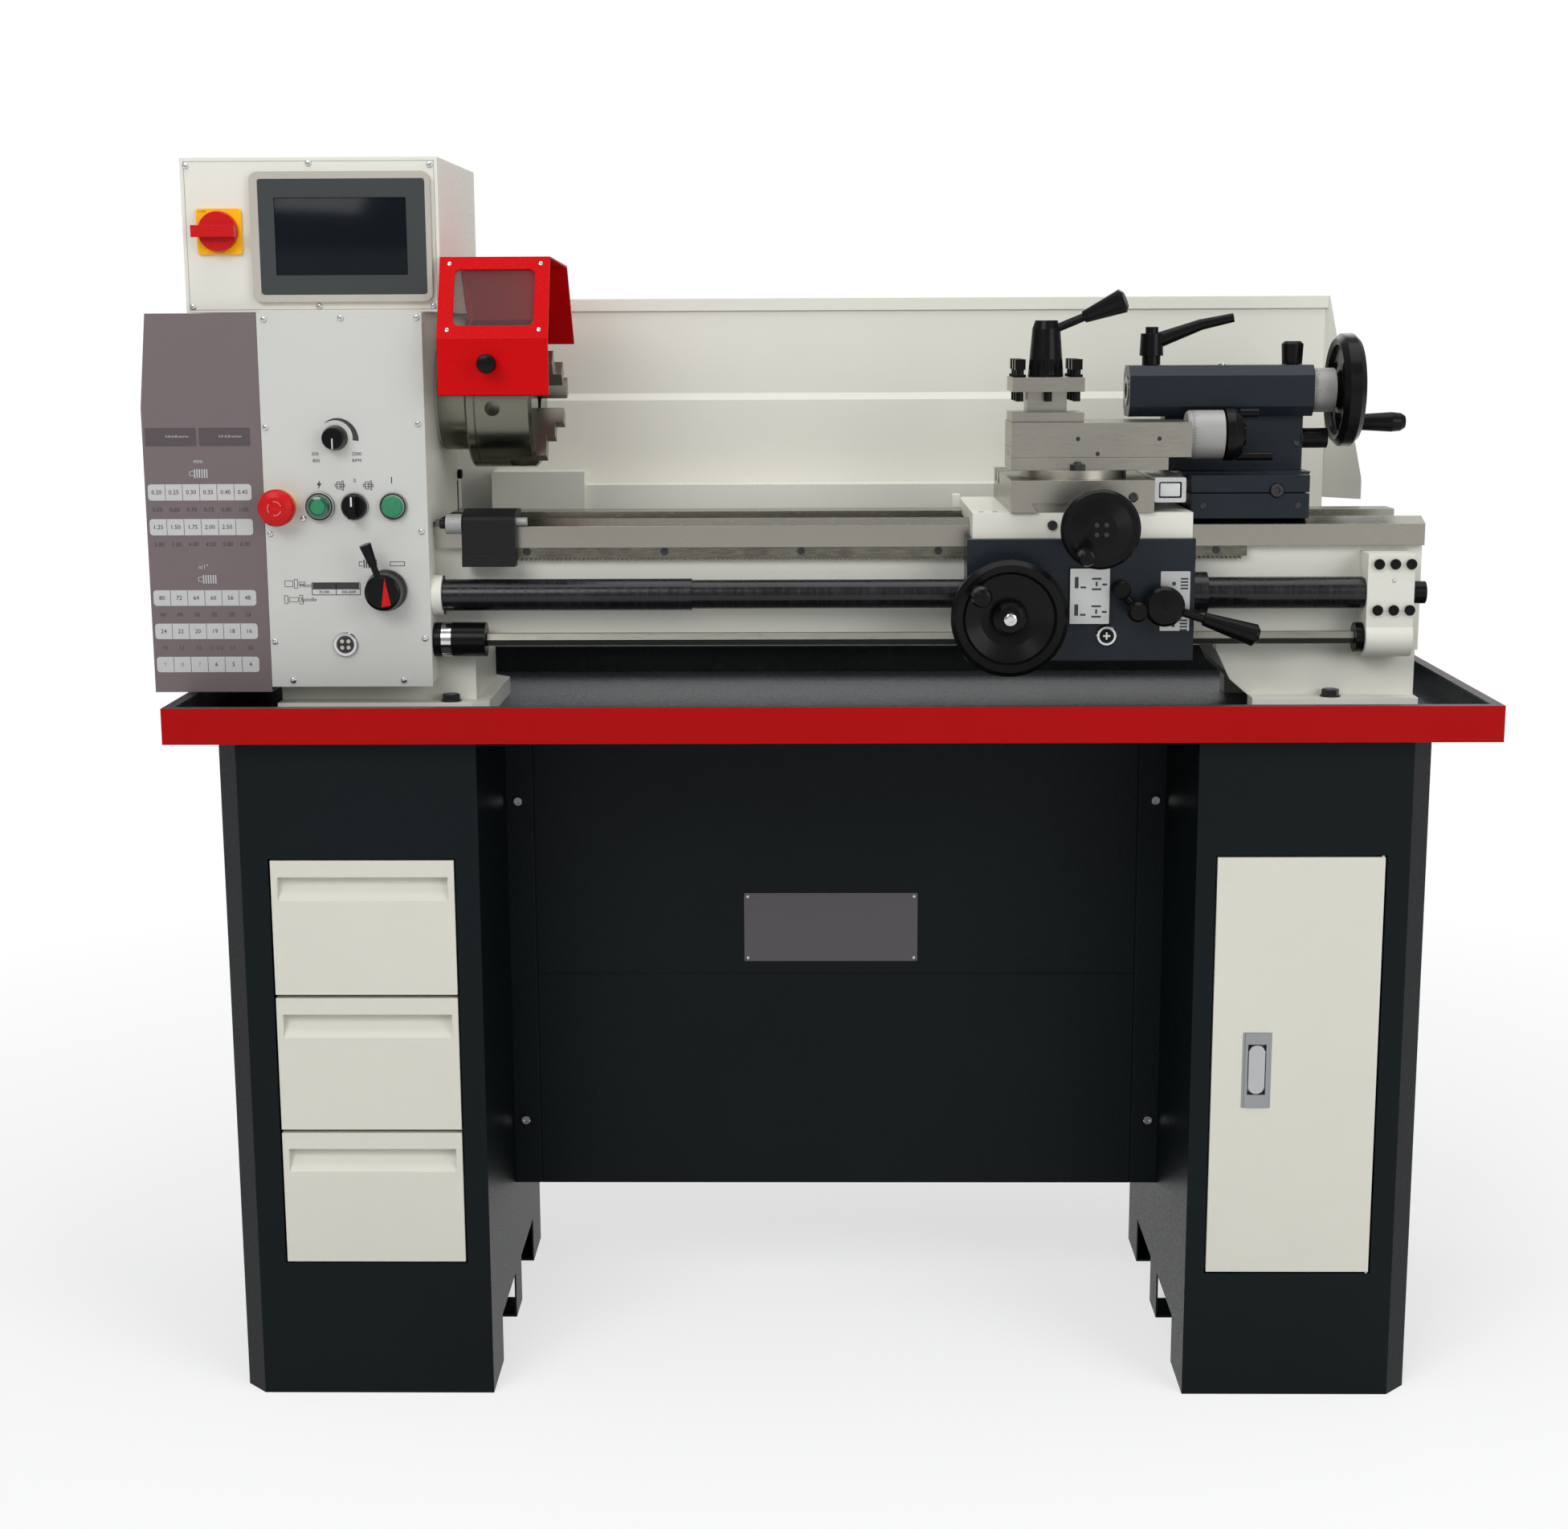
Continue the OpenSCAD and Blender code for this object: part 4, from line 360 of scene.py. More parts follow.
dress(material("label_coat", LABEL_STYLE), "end_cover")
dress(material("plate_coat", PLATE_STYLE), "control_plate")
dress(black, "speed_knob", "direction_switch", "gear_lever", "carriage_handwheel",
      "toolpost_lever", "feed_lever", "half_nut_lever", "quill_lock", "tailstock_clamp")
dress(button_red, "emergency_stop", "isolator_knob")
dress(button_green, "start_button")
dress(turned_steel, "spindle", "layshaft", "change_gear", "feed_gear", "motor_pulley", "quill")
dress(material("chuck_steel", dict(TURNED_STYLE, color=(0.165, 0.163, 0.13))), "chuck_body")
dress(material("jaw_steel", dict(STEEL_STYLE, color=(0.23, 0.22, 0.19))), "chuck_jaw_1",
      "chuck_jaw_2", "chuck_jaw_3")
dress(material("motor_paint", MOTOR_STYLE), "motor")
dress(rubber, "drive_belt")
dress(guard_red, "chuck_guard")
dress(material("clear_pane", GLASS_STYLE), "guard_window")
dress(slate_paint, "apron")
dress(material("tailstock_paint", SLATE_STYLE, ([tail_stud], BLACK_STYLE)), "tailstock")
dress(steel_y, "cross_slide")
dress(steel, "swivel_base", "top_slide")
dress(material("toolpost_steel", BLACK_STYLE, (post_steel, STEEL_STYLE)), "toolpost")
for coat, wheel, dial in (("cross_wheel", "cross_handwheel", slab(1, -174.6, -150)),
                          ("top_wheel", "top_handwheel", slab(0, SLIDE_HIGH[0] - 30, 437.6)),
                          ("tail_wheel", "tailstock_handwheel", slab(0, 300, 567.6))):
    dress(material(coat, BLACK_STYLE, ([dial], DIAL_STYLE)), wheel)


# ---------------------------------------------------------------- mesh helpers

SHARP_ANGLE = math.radians(35)


def finish_mesh(name, bm, mat, body):
    """Turns a bmesh in millimetres into a piece that rides on a body."""
    bmesh.ops.scale(bm, vec=(MM, MM, MM), verts=bm.verts)
    bmesh.ops.recalc_face_normals(bm, faces=bm.faces)
    mesh = bpy.data.meshes.new(name)
    bm.to_mesh(mesh)
    bm.free()
    mesh.polygons.foreach_set("use_smooth", [True] * len(mesh.polygons))
    mesh.set_sharp_from_angle(angle=SHARP_ANGLE)
    mesh.materials.append(mat)
    piece = bpy.data.objects.new(name, mesh)
    bpy.context.scene.collection.objects.link(piece)
    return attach(piece, body)


def facing(direction):
    """A rotation that turns +Z to the given direction."""
    return Vector((0, 0, 1)).rotation_difference(Vector(direction)).to_matrix().to_4x4()


def add_skin(bm, rows, around=True):
    """Adds the faces between neighbouring rows of vertices; around joins each row's ends too."""
    for a, b in zip(rows, rows[1:]):
        for i in range(len(a) if around else len(a) - 1):
            k = (i + 1) % len(a)
            bm.faces.new((a[i], a[k], b[k], b[i]))


def add_rings(bm, rings, centre, direction=FRONT, turn=0.0):
    """Adds a closed solid through (radii by angle, height) pairs that stands on centre."""
    place = Matrix.Translation(centre) @ facing(direction) @ Matrix.Rotation(turn, 4, "Z")
    rows = []
    for radii, height in rings:
        step = 2 * math.pi / len(radii)
        rows.append([bm.verts.new(place @ Vector((r * math.cos(step * i), r * math.sin(step * i),
                                                  height))) for i, r in enumerate(radii)])
    add_skin(bm, rows)
    bm.faces.new(list(reversed(rows[0])))
    bm.faces.new(rows[-1])


COARSE, AROUND, FINE = 16, 24, 48  # points around pins, screws and turned pieces


def circle(radius, count=AROUND):
    return [radius] * count


def hexagon(radius):
    """Radii of a regular hexagon by angle; radius is to its corners."""
    step = math.pi / 3
    inner = radius * math.cos(step / 2)
    return [inner / math.cos((2 * math.pi * i / AROUND) % step - step / 2) for i in range(AROUND)]


def cross(radius):
    """Radii of a cross-shaped recess by angle."""
    return [radius * (0.35 + 0.65 * abs(math.cos(4 * math.pi * i / AROUND)) ** 3)
            for i in range(AROUND)]


def cap_screw(bm, centre, direction, radius, height):
    """Adds a socket head screw."""
    socket = hexagon(radius * 0.55)
    add_rings(bm, [(circle(radius), 0), (circle(radius), height * 0.85),
                   (circle(radius * 0.9), height), (socket, height), (socket, height * 0.4)],
              centre, direction)


def pan_screw(bm, centre, direction, radius, height):
    """Adds a domed cross-recessed screw."""
    recess = cross(radius * 0.55)
    add_rings(bm, [(circle(radius), 0), (circle(radius * 0.98), height * 0.35),
                   (circle(radius * 0.8), height * 0.8), (circle(radius * 0.62), height * 0.95),
                   (recess, height), (recess, height * 0.45)], centre, direction, turn=0.4)


def screws(name, kind, places, radius, height, mat, body="frame", direction=FRONT):
    bm = bmesh.new()
    for place in places:
        kind(bm, place, direction, radius, height)
    return finish_mesh(name, bm, mat, body)


def turned(name, outline, centre, mat, body="frame", direction=FRONT):
    """A turned piece from (radius, height) pairs."""
    bm = bmesh.new()
    add_rings(bm, [(circle(max(r, 0.02), FINE), h) for r, h in outline], centre, direction)
    return finish_mesh(name, bm, mat, body)


def block(name, low, high, mat, body="frame", bevel=0.4):
    """A block with rounded edges."""
    bm = bmesh.new()
    size = [b - a for a, b in zip(low, high)]
    centre = [(a + b) / 2 for a, b in zip(low, high)]
    place = Matrix.Translation(centre) @ Matrix.Diagonal((*size, 1))
    made = bmesh.ops.create_cube(bm, size=1.0, matrix=place)
    edges = list({e for v in made["verts"] for e in v.link_edges})
    bmesh.ops.bevel(bm, geom=edges, offset=min(bevel, min(size) * 0.45), segments=2, profile=0.5,
                    affect="EDGES")
    return finish_mesh(name, bm, mat, body)


def front_text(bm, words, x, z, y, size):
    """Adds letters that face the operator, centred on (x, z)."""
    curve = bpy.data.curves.new("words", "FONT")
    curve.body = words
    curve.size = size * MM
    curve.align_x = curve.align_y = "CENTER"
    curve.resolution_u = 2
    holder = bpy.data.objects.new("words", curve)
    bpy.context.scene.collection.objects.link(holder)
    mesh = holder.to_mesh()
    mesh.transform(Matrix.Translation((x, y, z)) @ Matrix.Rotation(math.pi / 2, 4, "X")
                   @ Matrix.Scale(1 / MM, 4))
    bm.from_mesh(mesh)
    holder.to_mesh_clear()
    bpy.data.objects.remove(holder)
    bpy.data.curves.remove(curve)


def rounded(x0, z0, x1, z1, radius, arc):
    """The (x, z) points of a rectangle with rounded corners."""
    points = []
    for cx, cz, start in ((x1 - radius, z1 - radius, 0), (x0 + radius, z1 - radius, 90),
                          (x0 + radius, z0 + radius, 180), (x1 - radius, z0 + radius, 270)):
        for i in range(arc + 1):
            a = math.radians(start + 90 * i / arc)
            points.append((cx + radius * math.cos(a), cz + radius * math.sin(a)))
    return points


def front_plate(bm, x0, z0, x1, z1, y, radius, arc=6, thick=0.3):
    """Adds a thin plate with rounded corners whose front lies at y."""
    points = rounded(x0, z0, x1, z1, radius, arc)
    front, back = [[bm.verts.new((px, at, pz)) for px, pz in points] for at in (y, y + thick)]
    bm.faces.new(front)
    bm.faces.new(list(reversed(back)))
    add_skin(bm, [front, back])


def front_bar(bm, x0, z0, x1, z1, y, radius=0.1):
    """Adds a printed bar with hardly rounded corners."""
    front_plate(bm, x0, z0, x1, z1, y, radius, arc=1)


def front_outline(bm, x0, z0, x1, z1, y, width=0.6):
    """Adds the thin outline of a rectangle."""
    for corners in ((x0, z0, x1, z0 + width), (x0, z1 - width, x1, z1), (x0, z0, x0 + width, z1),
                    (x1 - width, z0, x1, z1)):
        front_bar(bm, *corners, y)


def front_shape(bm, points, x, z, y):
    """Adds a flat shape from (x, z) points around a centre."""
    bm.faces.new([bm.verts.new((x + px, y, z + pz)) for px, pz in points])


def front_arc(bm, x, z, y, inner, first, last, start, end, steps):
    """Adds a flat arc whose width goes from first to last between two angles."""
    rows = []
    for i in range(steps + 1):
        a = math.radians(start + (end - start) * i / steps)
        outer = inner + first + (last - first) * i / steps
        rows.append([bm.verts.new((x + r * math.cos(a), y, z + r * math.sin(a)))
                     for r in (inner, outer)])
    add_skin(bm, rows, around=False)


def frame_plate(name, outer, inner, front, back, mat, radius, body="frame", arc=5):
    """A flat frame between two rectangles (x0, z0, x1, z1), from y=front to y=back."""
    bm = bmesh.new()
    outside, hole = rounded(*outer, radius, arc), rounded(*inner, 1.5, arc)
    rows = [[bm.verts.new((x, y, z)) for x, z in loop]
            for loop, y in ((outside, back), (outside, front + 0.6), (outside, front),
                            (hole, front), (hole, back))]
    add_skin(bm, rows + rows[:1])
    return finish_mesh(name, bm, mat, body)


def screw_sketch(bm, x, z, y):
    """Adds a small drawing of a threaded bar."""
    for i in range(6):
        front_bar(bm, x + i * 2.6, z - 4.6, x + i * 2.6 + 1.2, z + 4.6, y, 0.2)
    front_bar(bm, x - 5, z - 2.6, x - 0.6, z - 2.0, y)
    front_bar(bm, x - 5, z + 2.0, x - 0.6, z + 2.6, y)
    front_bar(bm, x - 5, z - 2.6, x - 4.4, z + 2.6, y)


ink = material("ink", style((0.03, 0.03, 0.035), 0.5, vary=0.1))
pale_ink = material("pale_ink", style((0.55, 0.56, 0.56)))
pale_print = material("pale_print", style((0.52, 0.52, 0.51), 0.32, cloud=3))
dim_ink = material("dim_ink", style((0.095, 0.078, 0.083), vary=0.05, **SOFT))
grey_ink = material("grey_ink", style((0.33, 0.32, 0.32), vary=0.05, **SOFT))

# ---------------------------------------------------------------- markings on the end cover

LABEL_Y = COVER_FRONT - 0.35
TABLE_X0, TABLE_X1 = -706.0, -596.0
COLUMNS = 6
COLUMN = (TABLE_X1 - TABLE_X0) / COLUMNS
METRIC = ("0.20 0.25 0.30 0.35 0.40 0.45", "0.50 0.60 0.70 0.75 0.80 1.00",
          "1.25 1.50 1.75 2.00 2.50", "3.00 3.50 4.00 4.50 5.00 6.00")
INCH = ("80 72 64 60 56 48", "44 40 36 32 28 26", "24 22 20 19 18 16", "14 13 12 11_1/2 11 10",
        "9 8 7 6 5 4")
FADED_ROW, FADED_COLUMNS = 4, 3  # of the inch table
light_cells, dim_cells, dark_words, dim_words, grey_words = [bmesh.new() for _ in range(5)]
for table, top, bottom in ((METRIC, 995.5, 922.0), (INCH, 883.0, 793.5)):
    pitch = (top - bottom) / len(table)
    for r, row in enumerate(table):
        z1 = top - r * pitch
        z0 = z1 - pitch
        pale = r % 2 == 0
        if pale:
            front_plate(light_cells, TABLE_X0, z0 + 0.6, TABLE_X1, z1 - 0.6, LABEL_Y, 3.5)
            for c in range(1, COLUMNS):
                x = TABLE_X0 + c * COLUMN
                front_bar(dim_cells, x - 0.25, z0 + 0.8, x + 0.25, z1 - 0.8, LABEL_Y - 0.1)
        for c, words in enumerate(row.split()):
            faded = table is INCH and r == FADED_ROW and c < FADED_COLUMNS
            kind = dim_words if not pale else grey_words if faded else dark_words
            front_text(kind, words.replace("_", " "), TABLE_X0 + (c + 0.5) * COLUMN,
                       (z0 + z1) / 2, LABEL_Y - (0.2 if pale else 0.0), 6.4)
for name, bm, mat in (("table_rows", light_cells, pale_print), ("table_lines", dim_cells, dim_ink),
                      ("table_numbers", dark_words, ink),
                      ("table_dim_numbers", dim_words, dim_ink),
                      ("table_faded_numbers", grey_words, grey_ink)):
    finish_mesh(name, bm, mat, "end_cover")

captions = bmesh.new()
for words, x, z, y, size in (("mm", -651, 1019, LABEL_Y, 6.5), ("n/1\"", -651, 907, LABEL_Y, 6.5),
                             ("0.04-0.40 mm/rev", -672, 1045, LABEL_Y - 0.2, 3.4),
                             ("0.01-0.20 mm/rev", -616, 1045, LABEL_Y - 0.2, 3.4)):
    front_text(captions, words, x, z, y, size)
screw_sketch(captions, -656, 1006, LABEL_Y)
screw_sketch(captions, -652, 894, LABEL_Y)
finish_mesh("cover_captions", captions, pale_ink, "end_cover")
feed_boxes = bmesh.new()
for x in (-706, -649):
    front_plate(feed_boxes, x, 1035, x + 54, 1054, LABEL_Y + 0.1, 1.0)
finish_mesh("feed_boxes", feed_boxes, dim_ink, "end_cover")

# ---------------------------------------------------------------- control plate

PLATE_SCREWS = [(-575, 1166), (-494.5, 1167), (-415, 1167), (-578, 1054), (-417, 1057), (-578, 942),
                (-417, 944), (-542, 958), (-578, 827), (-417, 830), (-560, 785), (-441, 785)]
screws("control_plate_screws", pan_screw, [(x, PLATE_FRONT, z) for x, z in PLATE_SCREWS], 3.4, 1.9,
       chrome)

PRINT_Y = PLATE_FRONT - 0.25
marks = bmesh.new()
for words, dx, dz in (("300", -22, -17), ("800", -21, -24), ("2000", 22, -17), ("RPM", 22, -24)):
    front_text(marks, words, KNOB_X + dx, KNOB_Z + dz, PRINT_Y, 5.2)
front_text(marks, "I", START_X - 1, BUTTON_Z + 27, PRINT_Y, 10)
front_text(marks, "0", SWITCH_X + 1, BUTTON_Z + 27, PRINT_Y, 6)
front_text(marks, "Motor", -541, 887, PRINT_Y, 6.0)
front_text(marks, "Spindle", -540, 872, PRINT_Y, 6.0)
for words, x, z, size in (("A", -523, 886.5, 4.6), ("B", -497, 886.5, 4.6),
                          ("75-500", -523, 880, 4.0), ("300-2000", -497, 880, 4.0)):
    front_text(marks, words, x, z, PRINT_Y - 0.3, size)
for x in (SWITCH_X - 15, SWITCH_X + 15):
    # two small spindle outlines beside the switch
    front_outline(marks, x - 5.5, BUTTON_Z + 20.5, x + 5.5, BUTTON_Z + 23.5, PRINT_Y)
    front_outline(marks, x - 3.4, BUTTON_Z + 18, x + 0.4, BUTTON_Z + 26, PRINT_Y)
    front_outline(marks, x + 1.8, BUTTON_Z + 17, x + 4.0, BUTTON_Z + 27, PRINT_Y)
for z, parts in ((889, ((-565, 9, 7), (-555, 4, 10), (-550, 7, 4))),
                 (872, ((-566, 4, 9), (-561, 10, 5), (-550, 4, 10)))):
    # line drawings of the motor and the spindle drive
    for x, width, height in parts:
        front_outline(marks, x, z - height / 2, x + width, z + height / 2, PRINT_Y, 0.5)
# voltage mark above the lamp; thread and bar beside the lever
front_shape(marks, [(1.2, 5), (-2.6, -0.6), (-0.4, -0.6), (-1.4, -5), (2.6, 1.2), (0.4, 1.2)],
            LAMP_X, BUTTON_Z + 23, PRINT_Y)
screw_sketch(marks, LEVER_X - 24, LEVER_Z + 28, PRINT_Y)
front_outline(marks, LEVER_X + 4, LEVER_Z + 25.6, LEVER_X + 20, LEVER_Z + 30.4, PRINT_Y)
finish_mesh("plate_print", marks, ink, "frame")

GRID_X, GRID_Z, HALF_LINE = (-536, -510.2, -484.5), (877, 883.3, 890), 0.35
grid = bmesh.new()
for z in GRID_Z:
    front_bar(grid, GRID_X[0], z - HALF_LINE, GRID_X[-1], z + HALF_LINE, PRINT_Y)
for x in GRID_X:
    front_bar(grid, x - HALF_LINE, GRID_Z[0], x + HALF_LINE, GRID_Z[-1], PRINT_Y)
front_bar(grid, -535, 883.6, -485.5, 889.6, PRINT_Y)  # the filled upper row
finish_mesh("range_table", grid, ink, "frame")

scale_arc = bmesh.new()
front_arc(scale_arc, KNOB_X, KNOB_Z, PRINT_Y, 18.5, 0.4, 6.5, 125, -8, 28)
finish_mesh("speed_scale", scale_arc, ink, "frame")
block("speed_pointer", [KNOB_X - 0.8, PLATE_FRONT - 18.2, KNOB_Z - 11],
      [KNOB_X + 0.8, PLATE_FRONT - 16.9, KNOB_Z], pale_print, "speed_knob", 0.2)
white_mark = material("white_mark", style((0.75, 0.75, 0.73), 0.35))
block("switch_pointer", [SWITCH_X - 0.9, PLATE_FRONT - 20.6, BUTTON_Z + 1],
      [SWITCH_X + 0.9, PLATE_FRONT - 19.8, BUTTON_Z + 11], white_mark, "direction_switch", 0.2)

lens_green = material("lens_green", style((0.002, 0.095, 0.045), 0.12, vary=0.1, IOR=1.49,
                                          **{"Coat Weight": 0.8, "Coat Roughness": 0.08}))
LAMP = (LAMP_X, PLATE_FRONT - 4, BUTTON_Z)
turned("lamp_lens", [(11.6, 0), (12.2, 3), (12.0, 6.5), (10.8, 8.6), (8.4, 9.2), (8.2, 8.0)], LAMP,
       lens_green)
# The lamp's lighter green centre is painted glow of the lit lamp: button_green is an ordinary
# surface, not an emitter.
turned("lamp_glow_centre", [(8.0, 7.0), (8.0, 8.7), (7.2, 9.3), (0, 9.5)], LAMP, button_green)
turned("lamp_bezel", [(15.6, -0.5), (15.8, 3), (14.5, 5.4), (12.8, 5.6), (12.6, 4.5)],
       (LAMP_X, PLATE_FRONT, BUTTON_Z), dark_steel)
for name, x in (("switch_collar", SWITCH_X), ("start_collar", START_X)):
    turned(name, [(14.6, -0.5), (14.8, 2.5), (14.0, 4.3), (12.3, 4.35), (12.1, 4.0), (12.0, -0.5)],
           (x, PLATE_FRONT, BUTTON_Z), dark_steel)
yellow = material("yellow", style((1.0, 0.50, 0.008), 0.35, edge=0.5, **DULL))
turned("stop_collar", [(17.2, -0.5), (17.4, 4.5), (16.6, 6.3), (9, 6.35), (8.5, -0.5)],
       (STOP_X, PLATE_FRONT, BUTTON_Z), yellow)
arrows = bmesh.new()
for start in (20, 140, 260):
    front_arc(arrows, STOP_X, BUTTON_Z, EMERGENCY_FRONT - 0.12, 6.8, 0.9, 0.9, start, start + 78,
              10)
finish_mesh("stop_arrows", arrows, material("arrow_pink", style((0.62, 0.20, 0.19))),
            "emergency_stop")
SIGHT = (SIGHT_X, PLATE_FRONT, SIGHT_Z)
turned("sight_ring", [(13.2, 0), (13.2, 2.6), (12.2, 3.8), (9.6, 3.9), (9.2, 3.2)], SIGHT, chrome)
turned("sight_glass", [(9.3, 3.0), (8.6, 3.7), (0, 3.9)], SIGHT, dark_steel)
sight_dots = bmesh.new()
for dx, dz in ((-3.4, 3.4), (3.4, 3.4), (-3.4, -3.4), (3.4, -3.4)):
    add_rings(sight_dots, [(circle(2.2, COARSE), 0), (circle(1.9, COARSE), 0.5)],
              (SIGHT_X + dx, PLATE_FRONT - 3.8, SIGHT_Z + dz))
finish_mesh("sight_dots", sight_dots, material("sight_cream", style((0.62, 0.56, 0.45), 0.3)),
            "frame")
bm = bmesh.new()
front_shape(bm, [(3, 16), (-1, -15), (9, -13)], LEVER_X, LEVER_Z, PLATE_FRONT - 29.9)
finish_mesh("lever_arrow", bm, button_red, "gear_lever")

# ---------------------------------------------------------------- control box

screen_dark = material("screen", style((0.004, 0.007, 0.010), 0.16, vary=0.2, cloud=10, grain=200,
                                       **DULL))
bezel_grey = material("bezel_grey", style((0.047, 0.052, 0.053), 0.42, vary=0.05, edge=0.8,
                                          **SOFT))
rim_grey = material("rim_grey", style((0.47, 0.445, 0.39), vary=0.04, edge=0.8, **SOFT))
SCREEN = (-562, HEAD_TOP + 38, -424, HEAD_TOP + 117)
BEZEL = (-578, HEAD_TOP + 18, -404, HEAD_TOP + 136)
UNIT = (-586.5, HEAD_TOP + 10.5, -398.5, HEAD_TOP + 143.5)
frame_plate("display_rim", UNIT, BEZEL, BOX_FRONT - 6.5, BOX_FRONT, rim_grey, 9)
frame_plate("display_bezel", BEZEL, SCREEN, BOX_FRONT - 6.0, BOX_FRONT - 4, bezel_grey, 4)
block("display_screen", [SCREEN[0] - 1, BOX_FRONT - 4.6, SCREEN[1] - 1],
      [SCREEN[2] + 1, BOX_FRONT - 3.1, SCREEN[3] + 1], screen_dark, bevel=0.2)
isolator_plate = bmesh.new()
front_plate(isolator_plate, ISOLATOR_X - 23.4, ISOLATOR_Z - 23.4, ISOLATOR_X + 23.4,
            ISOLATOR_Z + 23.4, BOX_FRONT - 4.35, 3, thick=4.3)
finish_mesh("isolator_plate", isolator_plate, yellow, "frame")
isolator_marks = bmesh.new()
front_text(isolator_marks, "I ON", ISOLATOR_X + 1, ISOLATOR_Z - 20.4, BOX_FRONT - 4.5, 3.6)
front_text(isolator_marks, "0 OFF", ISOLATOR_X - 17.0, ISOLATOR_Z + 20.3, BOX_FRONT - 4.5, 3.2)
finish_mesh("isolator_marks", isolator_marks, ink, "frame")
# The front plate's edge is drawn as a thin grey outline 0.7 mm wide: painted shade in the gap
# between the plate and the box.
seam = bmesh.new()
front_outline(seam, BOX_LOW[0] + 3.4, HEAD_TOP + 2.6, BOX_HIGH[0] - 3.4, BOX_HIGH[2] - 3.4,
              BOX_FRONT - 0.1, 0.7)
finish_mesh("control_box_seam_shade", seam, rim_grey, "frame")
BOX_SCREWS = [(BOX_LOW[0] + 6, BOX_HIGH[2] - 8),
              ((BOX_LOW[0] + BOX_HIGH[0]) / 2, BOX_HIGH[2] - 6),
              (BOX_HIGH[0] - 8, BOX_HIGH[2] - 8), (BOX_LOW[0] + 7, HEAD_TOP + 6),
              (-519, HEAD_TOP + 6), (BOX_HIGH[0] - 8, HEAD_TOP + 6)]
screws("control_box_screws", pan_screw, [(x, BOX_FRONT, z) for x, z in BOX_SCREWS], 3.4, 1.8,
       chrome)

# ---------------------------------------------------------------- stand

plate_grey = material("bare_plate", style((0.085, 0.078, 0.088), 0.33, metal=0.3, vary=0.06,
                                          cloud=5))
PANEL_FRONT = PANEL_LOW[1]
NAME_X0, NAME_Z0, NAME_X1, NAME_Z1 = -83, 431, 117.5, 512
RIVET_INSET = 4
bm = bmesh.new()
front_plate(bm, NAME_X0, NAME_Z0, NAME_X1, NAME_Z1, PANEL_FRONT - 1.0, 1.5, thick=1.2)
finish_mesh("bare_name_plate", bm, plate_grey, "frame")
screws("plate_rivets", pan_screw,
       [(x, PANEL_FRONT - 0.9, z) for x in (NAME_X0 + RIVET_INSET, NAME_X1 - RIVET_INSET)
        for z in (NAME_Z0 + RIVET_INSET, NAME_Z1 - RIVET_INSET)], 2.0, 1.0, chrome)
screws("panel_bolts", cap_screw,
       [(x, PANEL_FRONT, z) for x in (PANEL_LOW[0] + 14, PANEL_HIGH[0] - 12) for z in (238, 621)],
       5.2, 3.6, chrome)

# ---------------------------------------------------------------- bed, rack, bracket, headstock

bolt_heads = bmesh.new()
for place in ((-396, -92, 757), (557, -92, 760), (-396, 92, 757), (557, 92, 760)):
    add_rings(bolt_heads, [(circle(11), -3), (circle(11), 1.2), (circle(9.6), 1.6),
                           (hexagon(9.4), 1.6), (hexagon(9.4), 7.4), (hexagon(8.6), 8.2)],
              place, UP)
finish_mesh("foot_bolts", bolt_heads, dark_steel, "frame")
RACK_SCREW_Z = (RACK_LOW[2] + 6 + RACK_HIGH[2]) / 2
screws("rack_screws", cap_screw, [(x, RACK_LOW[1], RACK_SCREW_Z)
                                  for x in (-310, -162, -15, 132, 280, 430)], 4.2, 0.9, dark_steel)
screws("bracket_screws", cap_screw,
       [(BRACKET_LOW[0] + dx, BRACKET_LOW[1] + 0.1, SCREW_Z + dz)
        for dx in (11, 28, 45) for dz in (32, -17)], 5.7, 0.7, black)
screws("bracket_grub_screws", pan_screw, [(BRACKET_LOW[0] + 28, -119, z) for z in (888, 828)], 2.4,
       1.2, chrome)
screws("flange_screws", cap_screw,
       [(HEAD_RIGHT + 10.5, SCREW_Y, SCREW_Z + dz) for dz in (-18.5, 18.5)], 2.6, 2.2, dark_steel,
       direction=RIGHT)
screws("head_side_screw", cap_screw, [(HEAD_RIGHT, 95, 991)], 5.4, 5.0, black, direction=RIGHT)
block("head_side_strip", [HEAD_RIGHT - 0.3, 87, 944], [HEAD_RIGHT + 0.8, 92, 984], dark_steel,
      bevel=0.3)

# ---------------------------------------------------------------- chuck guard

turned("guard_knob", [(5.4, 0), (5.4, 6.4), (6, 8.5), (9.9, 10.2), (9.9, 18.5), (8.6, 20.6),
                      (6, 21.4), (0, 21.5)], (-337, GUARD_FRONT + 21, AXIS_Z + 35), black,
       "chuck_guard")
WINDOW_RISE, WINDOW_DEPTH = 83, 40
slope = math.atan2(WINDOW_RISE, WINDOW_DEPTH)
slope_base = Vector((0, -158, AXIS_Z + 61))
slope_up = Vector((0, math.cos(slope), math.sin(slope)))
slope_out = Vector((0, -math.sin(slope), math.cos(slope)))
screws("window_screws", pan_screw, [slope_base + slope_up * s + Vector((x, 0, 0))
                                    for x in (-379.5, -284.5) for s in (9, 84)], 2.6, 1.4, chrome,
       "chuck_guard", slope_out)

# ---------------------------------------------------------------- carriage

label_white = material("label_white", style((0.60, 0.61, 0.59), 0.33, edge=0.4))
APRON_LABEL, LEVER_LABEL = (268.2, 846.3, 309.8, 904.7), (364, 838, 395, 901)
apron_label = bmesh.new()
front_plate(apron_label, *APRON_LABEL, APRON_FRONT - 6.4, 1, thick=0.5)
finish_mesh("apron_label", apron_label, label_white, "carriage")
apron_marks = bmesh.new()
for z in (882, 853):
    for x0, z0, x1, z1 in ((273, 2, 277, 14), (279, 2, 285, 4), (291, 0, 301, 2),
                           (291, 11, 301, 13), (295, 4, 297, 9), (302, 5, 307, 7)):
        front_bar(apron_marks, x0, z + z0, x1, z + z1, APRON_FRONT - 6.6, 0.4)
finish_mesh("apron_marks", apron_marks, ink, "carriage")
lever_plate = bmesh.new()
